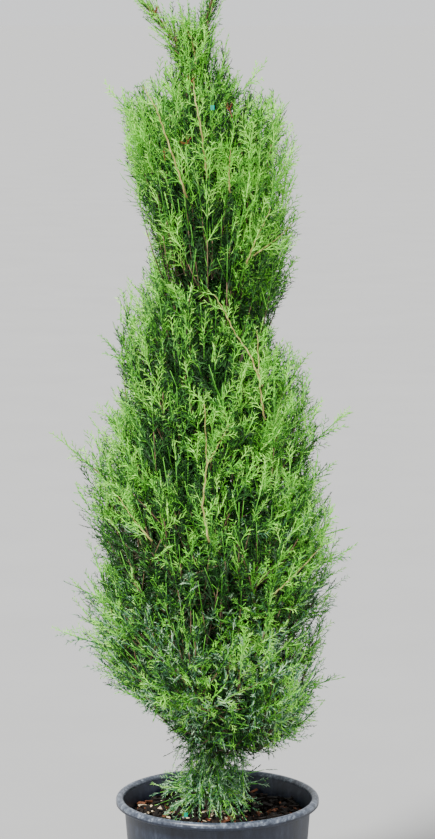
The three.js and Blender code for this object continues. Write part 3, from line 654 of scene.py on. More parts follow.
def bough_ends(mass):
    """Where a mass's bough leaves the trunk and where it enters the mass."""
    across = 0.62 if mass["lobe"] else 0.5
    tip = mass_point(mass, mass["middle"], across, BOUGH_SHARE * 0.86)
    drop = max(climb_at(tip[2]) * 0.9 * BOUGH_SHARE * crown_radius(tip[2]), 0.012)
    return trunk_centre(max(tip[2] - drop, SOIL_LEVEL + 0.06)), tip


# ------------------------------ sprays


def branchlet(start, turn, lift, length, width):
    """A branchlet's start, tip and width, from its turn off the spray's axis and its lift."""
    heading = unit(np.array([math.cos(turn), math.sin(turn), lift]))
    return start, start + heading * length, width


def branchlet_points(bases, tips, widths, normal):
    """Slim three-sided pyramids, four points each, from base to tip."""
    along = unit(tips - bases)
    across = unit(np.cross(normal, along))
    over = np.cross(along, across)
    corners = []
    for turn in (90 * DEGREE, 210 * DEGREE, 330 * DEGREE):
        side = across * math.cos(turn) + over * math.sin(turn)
        corners.append(bases + side * (widths / 2)[:, None])
    return np.stack([*corners, tips], 1)


def spray_template(size, pairs, fineness, random):
    """One spray along +X, nearly flat in the XY plane: a cord with branchlets on both sides that
    point forward and shorten to its tip, the lower ones forked again. With them comes, for each
    strand, whether it is darker, alike or lighter than the spray."""
    cord = branchlet(np.zeros(3), 0, random.uniform(-0.05, 0.05), size, CORD_WIDTH * fineness)
    strands = [cord]
    for i in range(pairs):
        share = (i + 0.55) / (pairs + 0.5)
        for side in (1, -1):
            start = np.array([size * min(share + 0.035 * side, 0.96), 0, 0])
            length = size * mix(0.58, 0.18, share) * random.uniform(0.55, 1.2)
            turn = side * BRANCHLET_ANGLE * random.uniform(0.6, 1.5)
            lift = random.uniform(-0.3, 0.3)
            strands.append(branchlet(start, turn, lift, length, BRANCHLET_WIDTH * fineness))
            if fineness > 1 or share > 0.8:
                continue
            fork = mix(start, strands[-1][1], random.uniform(0.35, 0.5))
            turn = turn + random.choice((-1, 1)) * BRANCHLET_ANGLE
            lift = random.uniform(-0.4, 0.4)
            strands.append(branchlet(fork, turn, lift, length * 0.5, BRANCHLET_WIDTH * 0.9))
    bases, tips, widths = (np.array(column) for column in zip(*strands))
    points = branchlet_points(bases, tips, widths, UP)
    return points, random.choice(3, len(points), p=STRAND_SHARES)


def make_templates(pairs, fineness):
    """Several sprays of each size, with fewer pairs of branchlets on the smaller ones."""
    random = np.random.default_rng(11)
    return [
        [spray_template(size, max(pairs - index, 2), fineness, random)
         for _ in range(SPRAY_VARIANTS)]
        for index, size in enumerate(SPRAY_SIZES)
    ]


class Foliage:
    """Sprays of all kinds, gathered kind by kind into joined meshes."""

    def __init__(self):
        self.fine = make_templates(5, 1)
        self.coarse = make_templates(4, 1.6)
        self.points = {kind: [] for kind in KIND_NAMES}

    def add(self, templates, roots, directions, normals, lengths, kinds, random):
        """Places sprays by root, direction, the normal of their plane, length and kind."""
        large, middle, small = SPRAY_SIZES
        size_index = 2 - np.digitize(lengths, [(middle + small) / 2, (large + middle) / 2])
        variant = random.integers(0, SPRAY_VARIANTS, len(roots))
        across = unit(np.cross(normals, directions))
        basis = np.stack([directions, across, np.cross(directions, across)], -1)
        for size, spray_size in enumerate(SPRAY_SIZES):
            for number in range(SPRAY_VARIANTS):
                alike = (size_index == size) & (variant == number)
                strands, shades = templates[size][number]
                for kind_index, kind in enumerate(KIND_NAMES):
                    chosen = alike & (kinds == kind_index)
                    placed = np.einsum("nij,vj->nvi", basis[chosen], strands.reshape(-1, 3))
                    placed = placed * (lengths[chosen] / spray_size)[:, None, None]
                    placed = placed + roots[chosen][:, None, :]
                    placed = placed.reshape(-1, len(strands), 4, 3)
                    _, darker, lighter = SPRAY_KINDS[kind]
                    for shade, strand_kind in enumerate((darker, kind, lighter)):
                        self.points[strand_kind].append(placed[:, shades == shade].reshape(-1, 4, 3))

    def build(self):
        """Joined meshes for each kind of spray, as lists of objects."""
        made = {}
        for kind in KIND_NAMES:
            points = np.concatenate(self.points[kind])
            pieces = max(math.ceil(len(points) / MOST_BRANCHLETS), 1)
            material = foliage_material(kind)
            made[kind] = []
            for number, part in enumerate(np.array_split(points, pieces)):
                starts = np.arange(len(part)) * 4
                faces = (BRANCHLET_FACES[None] + starts[:, None, None]).reshape(-1, 3)
                name = "sprays_%s_%d" % (kind, number + 1)
                made[kind].append(make_object(name, part, faces, material, False))
        return made


# ------------------------------ plumes


def plume_point(plumes, share):
    """The point of each plume a share of the way along its bent axis."""
    line = plumes["root"] + plumes["direction"] * (plumes["length"] * share)[:, None]
    return line + plumes["lift"] * (plumes["length"] * plumes["bend"] * share**2 / 2)[:, None]


def make_plumes(tips, directions, lengths, bends, limits, starts, tones=0.0):
    """Plumes that end at the given tips. A plume bends upwards on its way, or droops where its bend
    is negative, keeps its sprays within a limit of the outline, and is bare up to its start."""
    values = {"length": lengths, "bend": bends, "limit": limits, "start": starts, "tone": tones}
    plumes = {key: np.zeros(len(tips)) + value for key, value in values.items()}
    plumes["direction"] = directions
    plumes["lift"] = unit(UP - directions * directions[:, 2:3])
    span = directions + plumes["lift"] * (plumes["bend"] / 2)[:, None]
    plumes["root"] = tips - span * plumes["length"][:, None]
    return plumes


def joined(sets):
    """Several sets of plumes as one."""
    return {key: np.concatenate([each[key] for each in sets]) for key in sets[0]}


def lowness(height):
    """How much a height has the looks of the low crown, from 0 to 1."""
    return rise(height, LOW_FROM, LOW_TO)


def mass_plumes(mass, index, density, crowding, shares, random):
    """Plumes whose tips are spread evenly over a mass, at shares of its outline. Low down they are
    shorter, more and less alike in direction."""
    middle = mass_point(mass, mass["middle"], 0.5, 1.0)
    count = int(mass_area(mass) * density * mix(1, crowding, lowness(middle[2])))
    order = np.arange(count) + 0.5
    angle = mix(mass["from"], mass["to"], order / count)
    across = (order * GOLDEN_SHARE + index * 0.37) % 1 + random.uniform(-0.04, 0.04, count)
    across = np.clip(across, 0.02, 0.98)
    tips = mass_point(mass, angle, across, random.uniform(*shares, count))
    height = tips[:, 2]
    low = lowness(height)
    slope = steepness(height) + random.normal(-0.06, 1, count) * mix(*SLOPE_SPREAD, low)
    slope = slope - EDGE_DROOP * rise(across, EDGE_DROOP_FROM, 1)
    slope = slope - DROOP * rise(height, DROOP_FROM, DROOP_TO)
    heading = angle + random.normal(0, 1, count) * mix(*HEADING_SPREAD, low)
    reach = np.hypot(tips[:, 0] - axis_x(height), tips[:, 1])
    lengths = random.uniform(*PLUME_LENGTH, count) * mix(1, LOW_LENGTH, low)
    lengths = np.minimum(lengths, 0.035 + 0.62 * reach / np.maximum(np.cos(slope), 0.35))
    bends = random.uniform(*UPWARD_BENDS, count) * mix(*PLUME_BEND, low)
    limits = random.uniform(*LIMITS, count)
    bare = (random.random(count) < BARE_PLUMES) & (across < 0.5)
    starts = np.where(bare, BARE_START, USUAL_START)
    tones = random.normal(0, TONE_SPREAD, count)
    directions = outward(heading, slope)
    return rooted_inside(make_plumes(tips, directions, lengths, bends, limits, starts, tones))


def rooted_inside(plumes):
    """Plumes whose roots are moved in where they would start under the crown or out in a groove,
    tips kept."""
    roots = plumes["root"].copy()
    tips = plume_point(plumes, 1.0)
    roots[:, 2] = np.maximum(roots[:, 2], LOWEST_ROOT)
    outline, radius, _ = outline_at(roots)
    inward = np.minimum(ROOT_SHARE * outline / np.maximum(radius, 1e-4), 1)
    centre = axis_x(roots[:, 2])
    roots[:, 0] = centre + (roots[:, 0] - centre) * inward
    roots[:, 1] *= inward
    moved = np.linalg.norm(roots - plumes["root"], axis=1) > 0.002
    span = tips - roots
    plumes["root"][moved] = roots[moved]
    plumes["direction"][moved] = unit(span)[moved]
    plumes["length"][moved] = np.linalg.norm(span, axis=1)[moved]
    plumes["bend"][moved] = 0
    return plumes


def long_shoot_plumes():
    """The lone shoots, nearly bare at first and free of the outline."""
    azimuth, height, reach = np.array(LONG_SHOOTS).T
    angle = azimuth * DEGREE
    tips = point_at(angle, reach - 0.012, height)
    return make_plumes(tips, outward(angle, steepness(height) - 0.35), 0.12, 0.1, FREE, 0.35)


def outer_plumes(random):
    """All plumes at the crown's outside."""
    sets = [mass_plumes(mass, index, PLUMES_PER_AREA, LOW_CROWDING, OUTER_SHARES, random)
            for index, mass in enumerate(mass_list())]
    return joined([*sets, long_shoot_plumes()])


def inner_plumes(random):
    """Plumes of the crown's inside, dark with painted shade, which close it against the sky."""
    return joined([mass_plumes(mass, index + 3, INNER_PLUMES_PER_AREA, INNER_LOW_CROWDING,
                               INNER_SHARES, random) for index, mass in enumerate(mass_list())])


def patchiness(points):
    """A slow unevenness of tone over the crown."""
    angle = np.arctan2(points[:, 1], points[:, 0])
    height = points[:, 2]
    return 0.5 * np.sin(3 * angle + 21 * height) + 0.5 * np.sin(5 * angle - 34 * height + 1)


def spray_kind(tips, along, tone, random):
    """Deals each spray its kind: dark inside as painted shade, bright outside, bluer and greyer low
    down.
    """
    _, radius, across = outline_at(tips)
    height = tips[:, 2]
    depth = radius / np.maximum(crown_radius(height), 0.03)
    # painted light from above on the lobe's top
    light = np.maximum(depth, rise(height, TOP_LIT_FROM, CROWN_TOP)) + TIP_LIGHT * along
    light = light + PATCH_LIGHT * patchiness(tips) + random.normal(0, LIGHT_SPREAD, len(tips)) + tone
    light = light - EDGE_SHADE * rise(across, BAND_WIDEST, 1) + mix(LIFT_TOP, LIFT_LOW, lowness(height))
    # painted shade in the hollows and painted light at the lit places
    light = light - HOLLOW_SHADE * nearness(tips, HOLLOWS) + LIT_LIGHT * nearness(tips, LIT_PLACES)
    light = light + FOOT_LIGHT * smooth_step((FOOT_LIGHT_FROM - height) / FOOT_LIGHT_OVER)
    kind = np.digitize(light, KIND_STEPS)
    low = smooth_step((BLUE_FROM - height) / BLUE_OVER)
    blue = (random.random(len(tips)) < BLUE_SHARE * low) & ((kind == DEEP) | (kind == LEAF))
    kind = np.where(blue, BLUE, kind)
    grey = (random.random(len(tips)) < GREY_SHARE * low) & ((kind == BRIGHT) | (kind == TIP))
    return np.where(grey, GREY, kind)


def clothe(foliage, templates, plumes, random, kind_rule, size_share=0.36):
    """Sets sprays along each plume's axis, shorter towards its tip, and one at the tip."""
    counts = np.maximum((plumes["length"] / SPRAY_SPACING).astype(int), 4)
    owner = np.repeat(np.arange(len(counts)), counts)
    number = np.arange(len(owner)) - np.repeat(np.cumsum(counts) - counts, counts)
    each = {key: value[owner] for key, value in plumes.items()}
    last = number == counts[owner] - 1
    place = (number + random.uniform(0, 0.7, len(owner))) / counts[owner]
    along = np.where(last, 0.97, np.minimum(mix(each["start"], 1.0, place), 1.0))
    roots = plume_point(each, along)
    tangent = unit(each["direction"] + each["lift"] * (each["bend"] * along)[:, None])
    side_a, side_b = frames_along(tangent, [0.2, 0.3, 1.0])
    roll = number * GOLDEN_ANGLE + owner * 1.7 + random.normal(0, 0.4, len(owner))
    side = side_a * np.cos(roll)[:, None] + side_b * np.sin(roll)[:, None]
    spread = SPRAY_SPREAD * random.uniform(0.6, 1.3, len(owner)) * mix(*SPREAD_TAPER, along)
    spread[last] = 0.08
    direction = unit(tangent * np.cos(spread)[:, None] + side * np.sin(spread)[:, None])
    normal = unit(np.cross(tangent, direction) + random.normal(0, 0.5, direction.shape))
    lengths = each["length"] * size_share * mix(1.0, SPRAY_TAPER, along)
    lengths = np.clip(lengths * random.uniform(0.7, 1.25, len(owner)), *SPRAY_LENGTHS)
    tips = roots + direction * lengths[:, None]
    outline, radius, _ = outline_at(tips)
    inset = 1 - HOLLOW_DEPTH * nearness(tips, HOLLOWS) * (each["limit"] < FREE)
    kept = radius < outline * each["limit"] * inset + OUTLINE_SLACK
    kinds = kind_rule(roots + direction * lengths[:, None] * 0.7, along, each["tone"], random)
    foliage.add(templates, roots[kept], direction[kept], normal[kept], lengths[kept], kinds[kept],
                random)


def plume_axes(tubes, plumes, part, radii):
    """Part of each plume's axis: woody near its root and green further out."""
    paths = np.stack([plume_point(plumes, share) for share in np.linspace(*part, 3)], 1)
    bare = np.where(plumes["start"] > 0.3, 1.4, 1.0)
    tubes.add(paths, np.linspace(*radii, 3)[None] * bare[:, None])


def stem_path(stations):
    """The points of one long stem, a little inside the crown's outline at the front."""
    stations = np.array(stations)
    number = np.arange(len(stations))
    share = np.linspace(0, len(stations) - 1, 4 * len(stations))
    x, height = (np.interp(share, number, column) for column in stations.T)
    x = x + STEM_ZIGZAG * np.where(np.arange(len(share)) % 2 == 0, 1, -1)
    path = stacked(x, -crown_radius(height), height)
    for _ in range(4):
        outline, _, _ = outline_at(path)
        reach = (STEM_DEPTH * outline) ** 2 - (x - axis_x(height)) ** 2
        path[:, 1] = -np.sqrt(np.maximum(reach, 0.02**2))
    path[:, 1] = mix(path[:, 1], -NECK_REACH, rise(height, NECK_FROM, NECK_TO))
    return path


def stem_sprays(foliage, random):
    """Sprays on alternate sides of each long stem."""
    sides = np.where(np.arange(STEM_SPRAYS) % 2 == 0, 1, -1)
    for _, *stations in STEMS:
        path = stem_path(stations)
        places = np.linspace(0.12, 1.0, STEM_SPRAYS) * (len(path) - 1)
        before = np.minimum(places.astype(int), len(path) - 2)
        span = path[before + 1] - path[before]
        roots = path[before] + span * (places - before)[:, None]
        along = unit(span)
        side = unit(np.cross(along, [0.0, 1.0, 0.0]))
        turn = sides * random.uniform(0.5, 0.9, STEM_SPRAYS)
        directions = unit(along + side * turn[:, None] + random.normal(0, 0.12, side.shape))
        kinds = random.integers(LEAF, TIP + 1, STEM_SPRAYS)
        lengths = random.uniform(*STEM_SPRAY_LENGTHS, STEM_SPRAYS)
        foliage.add(foliage.fine, roots, directions, [0.0, -1.0, 0.0], lengths, kinds, random)


def brown_tips(foliage, random):
    """A small clump of dead sprays at each brown tip."""
    for station in BROWN_TIPS:
        place = stem_path([station, station])[:5]
        directions = unit(random.normal(0, 1, place.shape) + UP)
        normals = unit(np.cross(directions, [0.3, 0.8, 0.1]))
        lengths, kinds = np.full(len(place), BROWN_LENGTH), np.full(len(place), BROWN)
        foliage.add(foliage.coarse, place, directions, normals, lengths, kinds, random)


def branches_to(tubes, plumes, tips):
    """A thin curved side bough from the nearest bough's tip to each plume's root."""
    roots = plumes["root"]
    nearest = np.linalg.norm(roots[:, None] - tips[None], axis=-1).argmin(1)
    share = np.linspace(0, 1, 4)[None, :, None]
    paths = mix(tips[nearest][:, None, :], roots[:, None, :], share)
    curve = np.linalg.norm(tips[nearest] - roots, axis=1)[:, None, None] * 0.12
    paths = paths - UP * curve * np.sin(share * math.pi)
    tubes.add(paths, np.broadcast_to(mix(*SIDE_BOUGH_RADII, share[..., 0]), paths.shape[:2]))


# ------------------------------ trunk, boughs, leader, foot


def trunk_mesh(material):
    """The trunk with bark relief: long fibrous ridges that twist a little."""
    random = np.random.default_rng(5)
    share = np.linspace(0, 1, TRUNK_RINGS) ** 1.25
    height = mix(SOIL_LEVEL + 0.0004, TRUNK_TIP_HEIGHT, share)
    turn = turns(TRUNK_SIDES)
    ridge = np.zeros((TRUNK_RINGS, TRUNK_SIDES))
    for waves in (3, 5, 8, 13):
        phase = random.uniform(0, TURN)
        drift = np.cumsum(random.normal(0, 0.05, TRUNK_RINGS))
        ridge += np.sin(waves * turn[None] + phase + drift[:, None] * waves) / waves**0.6
    ridge += random.normal(0, 0.35, ridge.shape)
    foot_lobes = 1 + 0.12 * np.exp(-share * 40)[:, None] * np.cos(3 * turn)[None]
    radius = trunk_radius(height)[:, None] * foot_lobes * (1 + 0.045 * ridge)
    centre = trunk_centre(height)
    points = polar(turn, radius, height[:, None], centre[:, 0:1], centre[:, 1:2])
    return make_object("trunk_bark", points, tube_faces(TRUNK_SIDES, TRUNK_RINGS), material)


def limb_path(mass):
    """The bough from trunk to mass and the stem that runs on into the mass."""
    root, tip = bough_ends(mass)
    share = np.linspace(0, 1, 7)[:, None]
    path = mix(root, tip, share) - UP * 0.005 * np.sin(share * math.pi)
    along = unit(path[-1] - path[-2])
    far = tip + along * 0.05 + outward(mass["middle"], steepness(tip[2]) + 0.2) * 0.05
    return np.concatenate([path, mix(tip, far, np.linspace(0, 1, 5)[1:, None])])


def leader_path(azimuth, lean, length, steps):
    """The stem of one half of the leader, upright at first and leaning out to its full lean."""
    fork = trunk_centre(TRUNK_TIP_HEIGHT - 0.004)
    flat = outward(azimuth * DEGREE, 0.0)
    share = np.linspace(0, 1, steps)[:, None]
    end = math.sin(lean * DEGREE) * flat + math.cos(lean * DEGREE) * UP
    return fork + length * (end * share - 0.5 * math.sin(lean * DEGREE) * flat * share * (1 - share))


def column_plumes(random):
    """The dense upright plumes round the foot of the leader."""
    count = COLUMN_PLUMES
    share = (np.arange(count) + 0.5) / count
    angle = np.arange(count) * GOLDEN_ANGLE
    radius = mix(*COLUMN_RADII, share) * random.uniform(0.5, 1.0, count)
    tips = polar(angle, radius, mix(*COLUMN_HEIGHTS, share), mix(*COLUMN_X, share))
    directions = outward(angle, random.uniform(1.08, 1.40, count))
    lengths = random.uniform(*COLUMN_LENGTHS, count)
    tones = random.normal(-0.05, 0.30, count)
    return make_plumes(tips, directions, lengths, 0.1, FREE, 0.12, tones)


def leader_plumes(random):
    """The plumes of the forked leader: a left tuft that leans out and an upright right tuft."""
    tips, directions, lengths = [], [], []
    for azimuth, lean, length in LEADERS:
        path = leader_path(azimuth, lean, length, 15)
        axis = unit(path[-1] - path[-3])
        side_a, side_b = frames_along(axis, [0.2, 0.3, 1.0])
        for i in range(TUFT_PLUMES):
            place = (i + 0.5) / TUFT_PLUMES
            roll = i * GOLDEN_ANGLE
            spread = mix(0.60, 0.12, place) * random.uniform(0.7, 1.1)
            side = side_a * math.cos(roll) + side_b * math.sin(roll)
            directions.append(unit(axis * math.cos(spread) + side * math.sin(spread) + UP * 0.15))
            lengths.append(random.uniform(*TUFT_LENGTHS))
            start = path[int(mix(TUFT_FROM, 1.0, place) * 14)]
            tips.append(start + directions[-1] * lengths[-1])
    tufts = make_plumes(np.array(tips), np.array(directions), np.array(lengths), 0.1, FREE, 0.1)
    return joined([column_plumes(random), tufts])


def foot_plumes(random):
    """Low sprays round the trunk's foot, in short clumps on all sides that droop, the lowest of
    them over the potting mix, and one longer spray that hangs at the right."""
    count = FOOT_PLUMES
    share = random.random(count)
    height = mix(*FOOT_HEIGHTS, share)
    angle = np.where(random.random(count) < 0.6, random.uniform(0, TURN, count),
                     random.uniform(175, 330, count) * DEGREE)
    widest = np.interp(height, *np.array(FOOT_WIDTHS).T)
    away = mix(0.010, widest, random.random(count))
    roots = trunk_centre(height) + outward(angle, 0.0) * away[:, None]
    slope = random.uniform(-1.3, 0.3, count) + 0.7 * (share < 0.3)
    directions = outward(angle + random.normal(0, 0.8, count), slope)
    lengths = random.uniform(*FOOT_LENGTHS, count) + 0.020 * (share < 0.3)
    roots[0], directions[0], lengths[0] = HANGING_SPRAY
    plumes = make_plumes(roots, directions, lengths, -random.uniform(0.2, 1.1, count), FREE, 0.1)
    plumes["root"] = roots
    ends = plume_point(plumes, 1.0)
    short = (roots[:, 2] - SOIL_LEVEL - 0.004) / np.maximum(roots[:, 2] - ends[:, 2], 1e-4)
    plumes["length"] = lengths * np.clip(short, 0.3, 1)
    return plumes


def young_kind(tips, along, tone, random):
    """The leader's sprays are young and light, darker towards the leader's inside as painted shade."""
    light = 0.5 * along + np.hypot(tips[:, 0] - CROWN_NECK_X, tips[:, 1]) * 12
    return np.digitize(light + tone + random.normal(0, 0.34, len(tips)), YOUNG_STEPS)


def foot_kind(tips, along, tone, random):
    """The low sprays are greyed, most of all over the mix, and in shade under the crown."""
    light = 0.72 * random.random(len(tips)) + 0.28 * smooth_step((0.345 - tips[:, 2]) / 0.06)
    return np.array([SHADE, DEEP, BLUE, GREY])[np.digitize(light, FOOT_STEPS)]


# ------------------------------ pot and potting mix


def arc(centre, radius, start, end, steps):
    """Points of an arc in the (radius, height) plane, angles in degrees."""
    return [(centre[0] + radius * math.cos(turn), centre[1] + radius * math.sin(turn))
            for turn in np.linspace(start, end, steps) * DEGREE]


def pot_radius(height):
    """Outer radius of the pot's wall."""
    return mix(POT_BASE_RADIUS, POT_SHOULDER_RADIUS, height / (POT_HEIGHT - POT_LIP))


def inner_radius(height):
    """Inner radius of the pot's wall."""
    return pot_radius(height) - POT_WALL


def lip_arc(margin, start, end, steps):
    """Part of the rolled lip's round section, a margin over it."""
    centre = (POT_RIM_RADIUS - POT_LIP / 2, POT_HEIGHT - POT_LIP / 2)
    return arc(centre, POT_LIP / 2 + margin, start, end, steps)


def make_pot(material):
    """The pot, turned from its profile: a tapering wall under a rolled lip."""
    shoulder = POT_HEIGHT - POT_LIP
    edge = POT_ROUNDING
    profile = arc((POT_BASE_RADIUS - edge, edge), edge, -90, -8, 5)
    profile += [(pot_radius(h), h) for h in np.linspace(0.006, shoulder - 0.004, 12)]
    profile += arc((POT_SHOULDER_RADIUS + edge, shoulder - edge), edge, 180, 90, 4)
    profile += [(POT_RIM_RADIUS - 0.0015, shoulder), (POT_RIM_RADIUS, shoulder + 0.0015)]
    profile += lip_arc(0, 0, 180, 14)
    profile += [(inner_radius(shoulder - 0.004), shoulder - 0.004)]
    profile += [(inner_radius(h), h) for h in np.linspace(shoulder - 0.02, POT_WALL, 8)]
    radius, height = np.array(profile).T[:, :, None]
    faces = tube_faces(POT_SIDES, len(profile))
    points = polar(turns(POT_SIDES), radius, height)
    return make_object("pot_shell", points, faces, material)


def make_lip(material):
    """The rolled lip's worn face, pale with dust and a painted highlight, a thin ring over the shell's
    edge.
    """
    section = np.array(lip_arc(0.0002, 0, 360 - 360 / LIP_STEPS, LIP_STEPS))
    radius, height = section.T[:, :, None]
    row, column = np.arange(LIP_STEPS)[:, None] * POT_SIDES, np.arange(POT_SIDES)
    next_row, next_column = (row + POT_SIDES) % (LIP_STEPS * POT_SIDES), (column + 1) % POT_SIDES
    faces = stacked(row + column, row + next_column, next_row + next_column, next_row + column)
    points = polar(turns(POT_SIDES), radius, height)
    return make_object("pot_lip_dust_and_highlight", points, faces.reshape(-1, 4), material)


def soil_height(x, y, waves):
    """The potting mix's surface: slightly mounded, uneven."""
    wall = inner_radius(SOIL_LEVEL)
    height = SOIL_LEVEL - SOIL_EDGE_DROP * rise(np.hypot(x, y), 0.04, wall)
    for wave_x, wave_y, phase, size in waves:
        height = height + size * np.sin(wave_x * x + wave_y * y + phase)
    return height


def soil_waves():
    """Seeded ripples of the surface, from coarse to fine."""
    random = np.random.default_rng(23)
    waves = []
    for _ in range(SOIL_RIPPLES):
        size = random.uniform(40, 420)
        turn = random.uniform(0, TURN)
        height = 0.0024 * (60 / size) ** 0.7
        waves.append((size * math.cos(turn), size * math.sin(turn), random.uniform(0, TURN), height))
    return waves


def make_soil(material, waves):
    """The bed of potting mix, from the pot's floor to its uneven surface."""
    random = np.random.default_rng(31)
    turn = turns(SOIL_SIDES)
    radius = np.linspace(inner_radius(SOIL_LEVEL - SOIL_EDGE_DROP) - SOIL_GAP, 0.0012, SOIL_RINGS)
    top = polar(turn, radius[:, None], 0.0)
    top[..., 2] = soil_height(top[..., 0], top[..., 1], waves)
    top[..., 2] += random.normal(0, 0.0006, top.shape[:2])
    foot = polar(turn, inner_radius(POT_WALL) - SOIL_GAP, POT_WALL + 0.0004)
    points = np.concatenate([foot[None], top])
    faces = tube_faces(SOIL_SIDES, SOIL_RINGS + 1)
    return make_object("soil_bed", points, faces, material)


BOX_CORNERS = np.array([[a, b, c] for c in (-1, 1) for b in (-1, 1) for a in (-1, 1)], float)
BOX_FACES = np.array([[0, 2, 3, 1], [4, 5, 7, 6], [0, 1, 5, 4], [2, 6, 7, 3], [0, 4, 6, 2],
                      [1, 3, 7, 5]])


def make_boxes(name, boxes, material):
    """Boxes, each given by its eight corners, as one mesh."""
    faces = BOX_FACES[None] + 8 * np.arange(len(boxes))[:, None, None]
    make_object(name, boxes, faces.reshape(-1, 4), material, smooth=False)


def scatter_chips(name, material, waves, random, count, lengths, thickness, widths, centre, spread):
    """Irregular flat chips that lie on the mix at small tilts, as one mesh."""
    wall = inner_radius(SOIL_LEVEL - SOIL_EDGE_DROP)
    chips = []
    while len(chips) < count:
        turn = random.uniform(0, TURN)
        distance = spread * (wall - 0.008) * math.sqrt(random.random())
        x = centre[0] + distance * math.cos(turn)
        y = centre[1] + distance * math.sin(turn)
        if math.hypot(x, y) > wall - BARE_AT_WALL or math.hypot(x - TRUNK_FOOT_X, y) < BARE_ROUND_TRUNK:
            continue
        length = random.uniform(*lengths)
        half = np.array([length, length * random.uniform(*widths), length * thickness]) / 2
        shape = BOX_CORNERS * half * random.uniform(0.6, 1.15, BOX_CORNERS.shape)
        heading = random.uniform(0, TURN)
        tilt_x, tilt_y = random.normal(0, LITTER_TILT, 2)
        along = unit(np.array([math.cos(heading), math.sin(heading), tilt_x]))
        across = unit(np.cross([tilt_y, 0, 1.0], along))
        low = soil_height(x, y, waves) + half[2] * 0.7 + 0.0005
        chips.append(shape @ np.stack([along, across, np.cross(along, across)]) + [x, y, low])
    make_boxes(name, chips, material)


def soil_litter(waves):
    """Bark chips, perlite specks and pale straws on the mix."""
    random = np.random.default_rng(41)
    for name, material, dark, light, *measures in LITTER:
        scatter_chips(name, chip_material(material, dark, light), waves, random, *measures)


def tie_tapes():
    """Small bits of green tie tape left on the plant."""
    tape = chip_material("tie_tape", (0.000, 0.22, 0.14), (0.000, 0.36, 0.24), 0.5)
    boxes = [BOX_CORNERS * TAPE_SIZE / 2 + [x, -front, height] for x, front, height in TAPES]
    make_boxes("tie_tapes", boxes, tape)


# ------------------------------ stage, lights, camera


def make_floor():
    """The floor under the pot, which runs to the horizon."""
    bpy.ops.mesh.primitive_plane_add(size=600, location=(0, 0, 0))
    floor = bpy.context.active_object
    floor.name = "studio_floor"
    floor.data.materials.append(floor_material())


def soft_sun(name, towards, width, power, colour=(1, 1, 1)):
    """A broad far light, given by the direction towards it and its width in degrees."""
    light = bpy.data.lights.new(name, "SUN")
    light.energy = power
    light.angle = width * DEGREE
    light.color = colour
    holder = bpy.data.objects.new(name, light)
    bpy.context.scene.collection.objects.link(holder)
    holder.rotation_euler = Vector(towards).to_track_quat("Z", "Y").to_euler()


def make_lights():
    """A bright even surround, with a soft key from the front left and a weak fill."""
    world = bpy.data.worlds.new("studio")
    bpy.context.scene.world = world
    world.use_nodes = True
    background = world.node_tree.nodes["Background"]
    background.inputs["Color"].default_value = (0.98, 0.99, 1.0, 1.0)
    background.inputs["Strength"].default_value = 1.10
    soft_sun("key", (-0.55, -0.80, 1.25), 10, 7.4, (1.0, 0.98, 0.94))
    soft_sun("fill", (0.8, -0.9, 0.55), 40, 0.5)


def make_camera():
    """The photograph's view: from the front, a little above the crown, looking slightly down."""
    data = bpy.data.cameras.new("camera")
    data.sensor_fit = "AUTO"
    data.sensor_width = 36.0
    data.lens = FOCAL_PIXELS * data.sensor_width / IMAGE_HEIGHT
    camera = bpy.data.objects.new("camera", data)
    bpy.context.scene.collection.objects.link(camera)
    camera.location = (0, -CAMERA_DISTANCE, CAMERA_HEIGHT)
    camera.rotation_euler = (math.pi / 2 - CAMERA_PITCH, 0, 0)
    bpy.context.scene.camera = camera


# ------------------------------ the whole scene


def limb_tubes(name, sides, limbs, material):
    """Limbs, each a path and its radii at foot and tip, as one object."""
    tubes = TubeSet(sides)
    for path, radii in limbs:
        tubes.add(path[None], np.linspace(*radii, len(path))[None])
    return tubes.build(name, material, "bark")


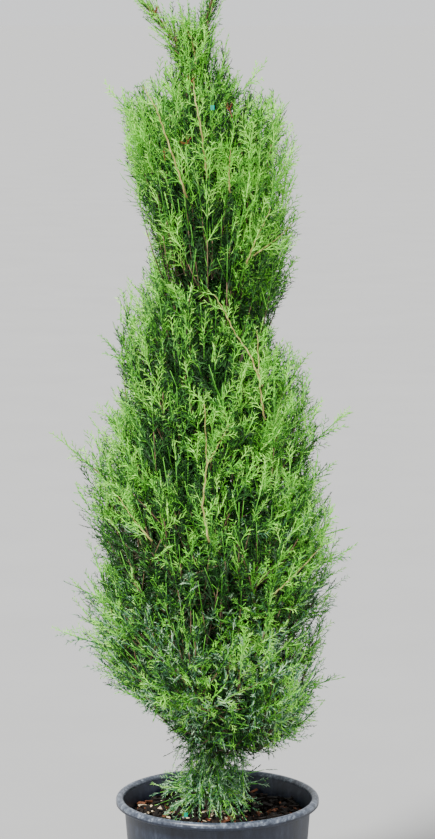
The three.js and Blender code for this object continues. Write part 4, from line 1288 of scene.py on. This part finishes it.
def make_wood(masses, outer, inner, leader, foot):
    """Trunk, boughs, side boughs and the plumes' own axes."""
    bark = bark_material("bark", (0.030, 0.024, 0.018), (0.095, 0.075, 0.055),
                         (0.230, 0.190, 0.140), 160)
    twig_bark = bark_material("twig_bark", (0.11, 0.055, 0.018), (0.29, 0.270, 0.070),
                              (0.52, 0.540, 0.180), 240)
    brown = bark_material("brown_twig_bark", (0.04, 0.022, 0.012), (0.13, 0.080, 0.040),
                          (0.29, 0.200, 0.105), 300)
    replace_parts(trunk_mesh(bark), "trunk")
    boughs = limb_tubes("boughs", 8, [(limb_path(mass), BOUGH_RADII) for mass in masses], bark)
    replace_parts(boughs, *("bough_" + mass["name"] for mass in masses))
    halves = [(leader_path(*half, 9), LEADER_RADII) for half in LEADERS]
    forks = limb_tubes("leader_limbs", 8, halves, twig_bark)
    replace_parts(forks, "leader_fork_left", "leader_fork_right")
    twigs, green, branches = TubeSet(3), TubeSet(3), TubeSet(3)
    for plumes in (outer, leader):
        plume_axes(twigs, plumes, (0, 0.5), TWIG_RADII)
        plume_axes(green, plumes, (0.5, 0.95), GREEN_RADII)
    plume_axes(green, foot, (0, 0.95), GREEN_RADII)
    twigs.build("twigs", brown, "bark")
    stems = [(stem_path(stations), (radius, radius * 0.4)) for radius, *stations in STEMS]
    limb_tubes("stems", 5, stems, twig_bark)
    green.build("green_twigs", foliage_material("leaf"), "foliage")
    tips = np.array([bough_ends(mass)[1] for mass in masses])
    branches_to(branches, outer, tips)
    branches_to(branches, inner, tips)
    branches.build("side_boughs", bark, "bark")


def make_foliage(masses, outer, inner, leader, foot):
    """All sprays, and the foliage solids that they stand for."""
    random = np.random.default_rng(101)
    foliage = Foliage()
    clothe(foliage, foliage.fine, outer, random, spray_kind)
    clothe(foliage, foliage.coarse, inner, random, spray_kind, size_share=0.42)
    clothe(foliage, foliage.fine, leader, random, young_kind, size_share=0.46)
    clothe(foliage, foliage.fine, foot, random, foot_kind, size_share=0.5)
    stem_sprays(foliage, random)
    brown_tips(foliage, random)
    made = foliage.build()
    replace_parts(made["leaf"][0], *("foliage_" + mass["name"] for mass in masses))
    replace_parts(made["tip"][0], "foliage_leader_left", "foliage_leader_right")
    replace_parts(made["grey"][0], "foliage_foot_front", "foliage_foot_left", "foliage_foot_right")


def make_plant():
    """The whole potted plant."""
    masses = mass_list()
    outer = outer_plumes(np.random.default_rng(7))
    inner = inner_plumes(np.random.default_rng(6))
    leader = leader_plumes(np.random.default_rng(8))
    foot = foot_plumes(np.random.default_rng(9))
    make_wood(masses, outer, inner, leader, foot)
    make_foliage(masses, outer, inner, leader, foot)
    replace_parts(make_pot(pot_material()), "pot")
    make_lip(lip_dust_and_highlight_material())
    waves = soil_waves()
    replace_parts(make_soil(soil_material(), waves), "soil")
    soil_litter(waves)
    tie_tapes()


make_camera()
make_lights()
make_floor()
make_plant()
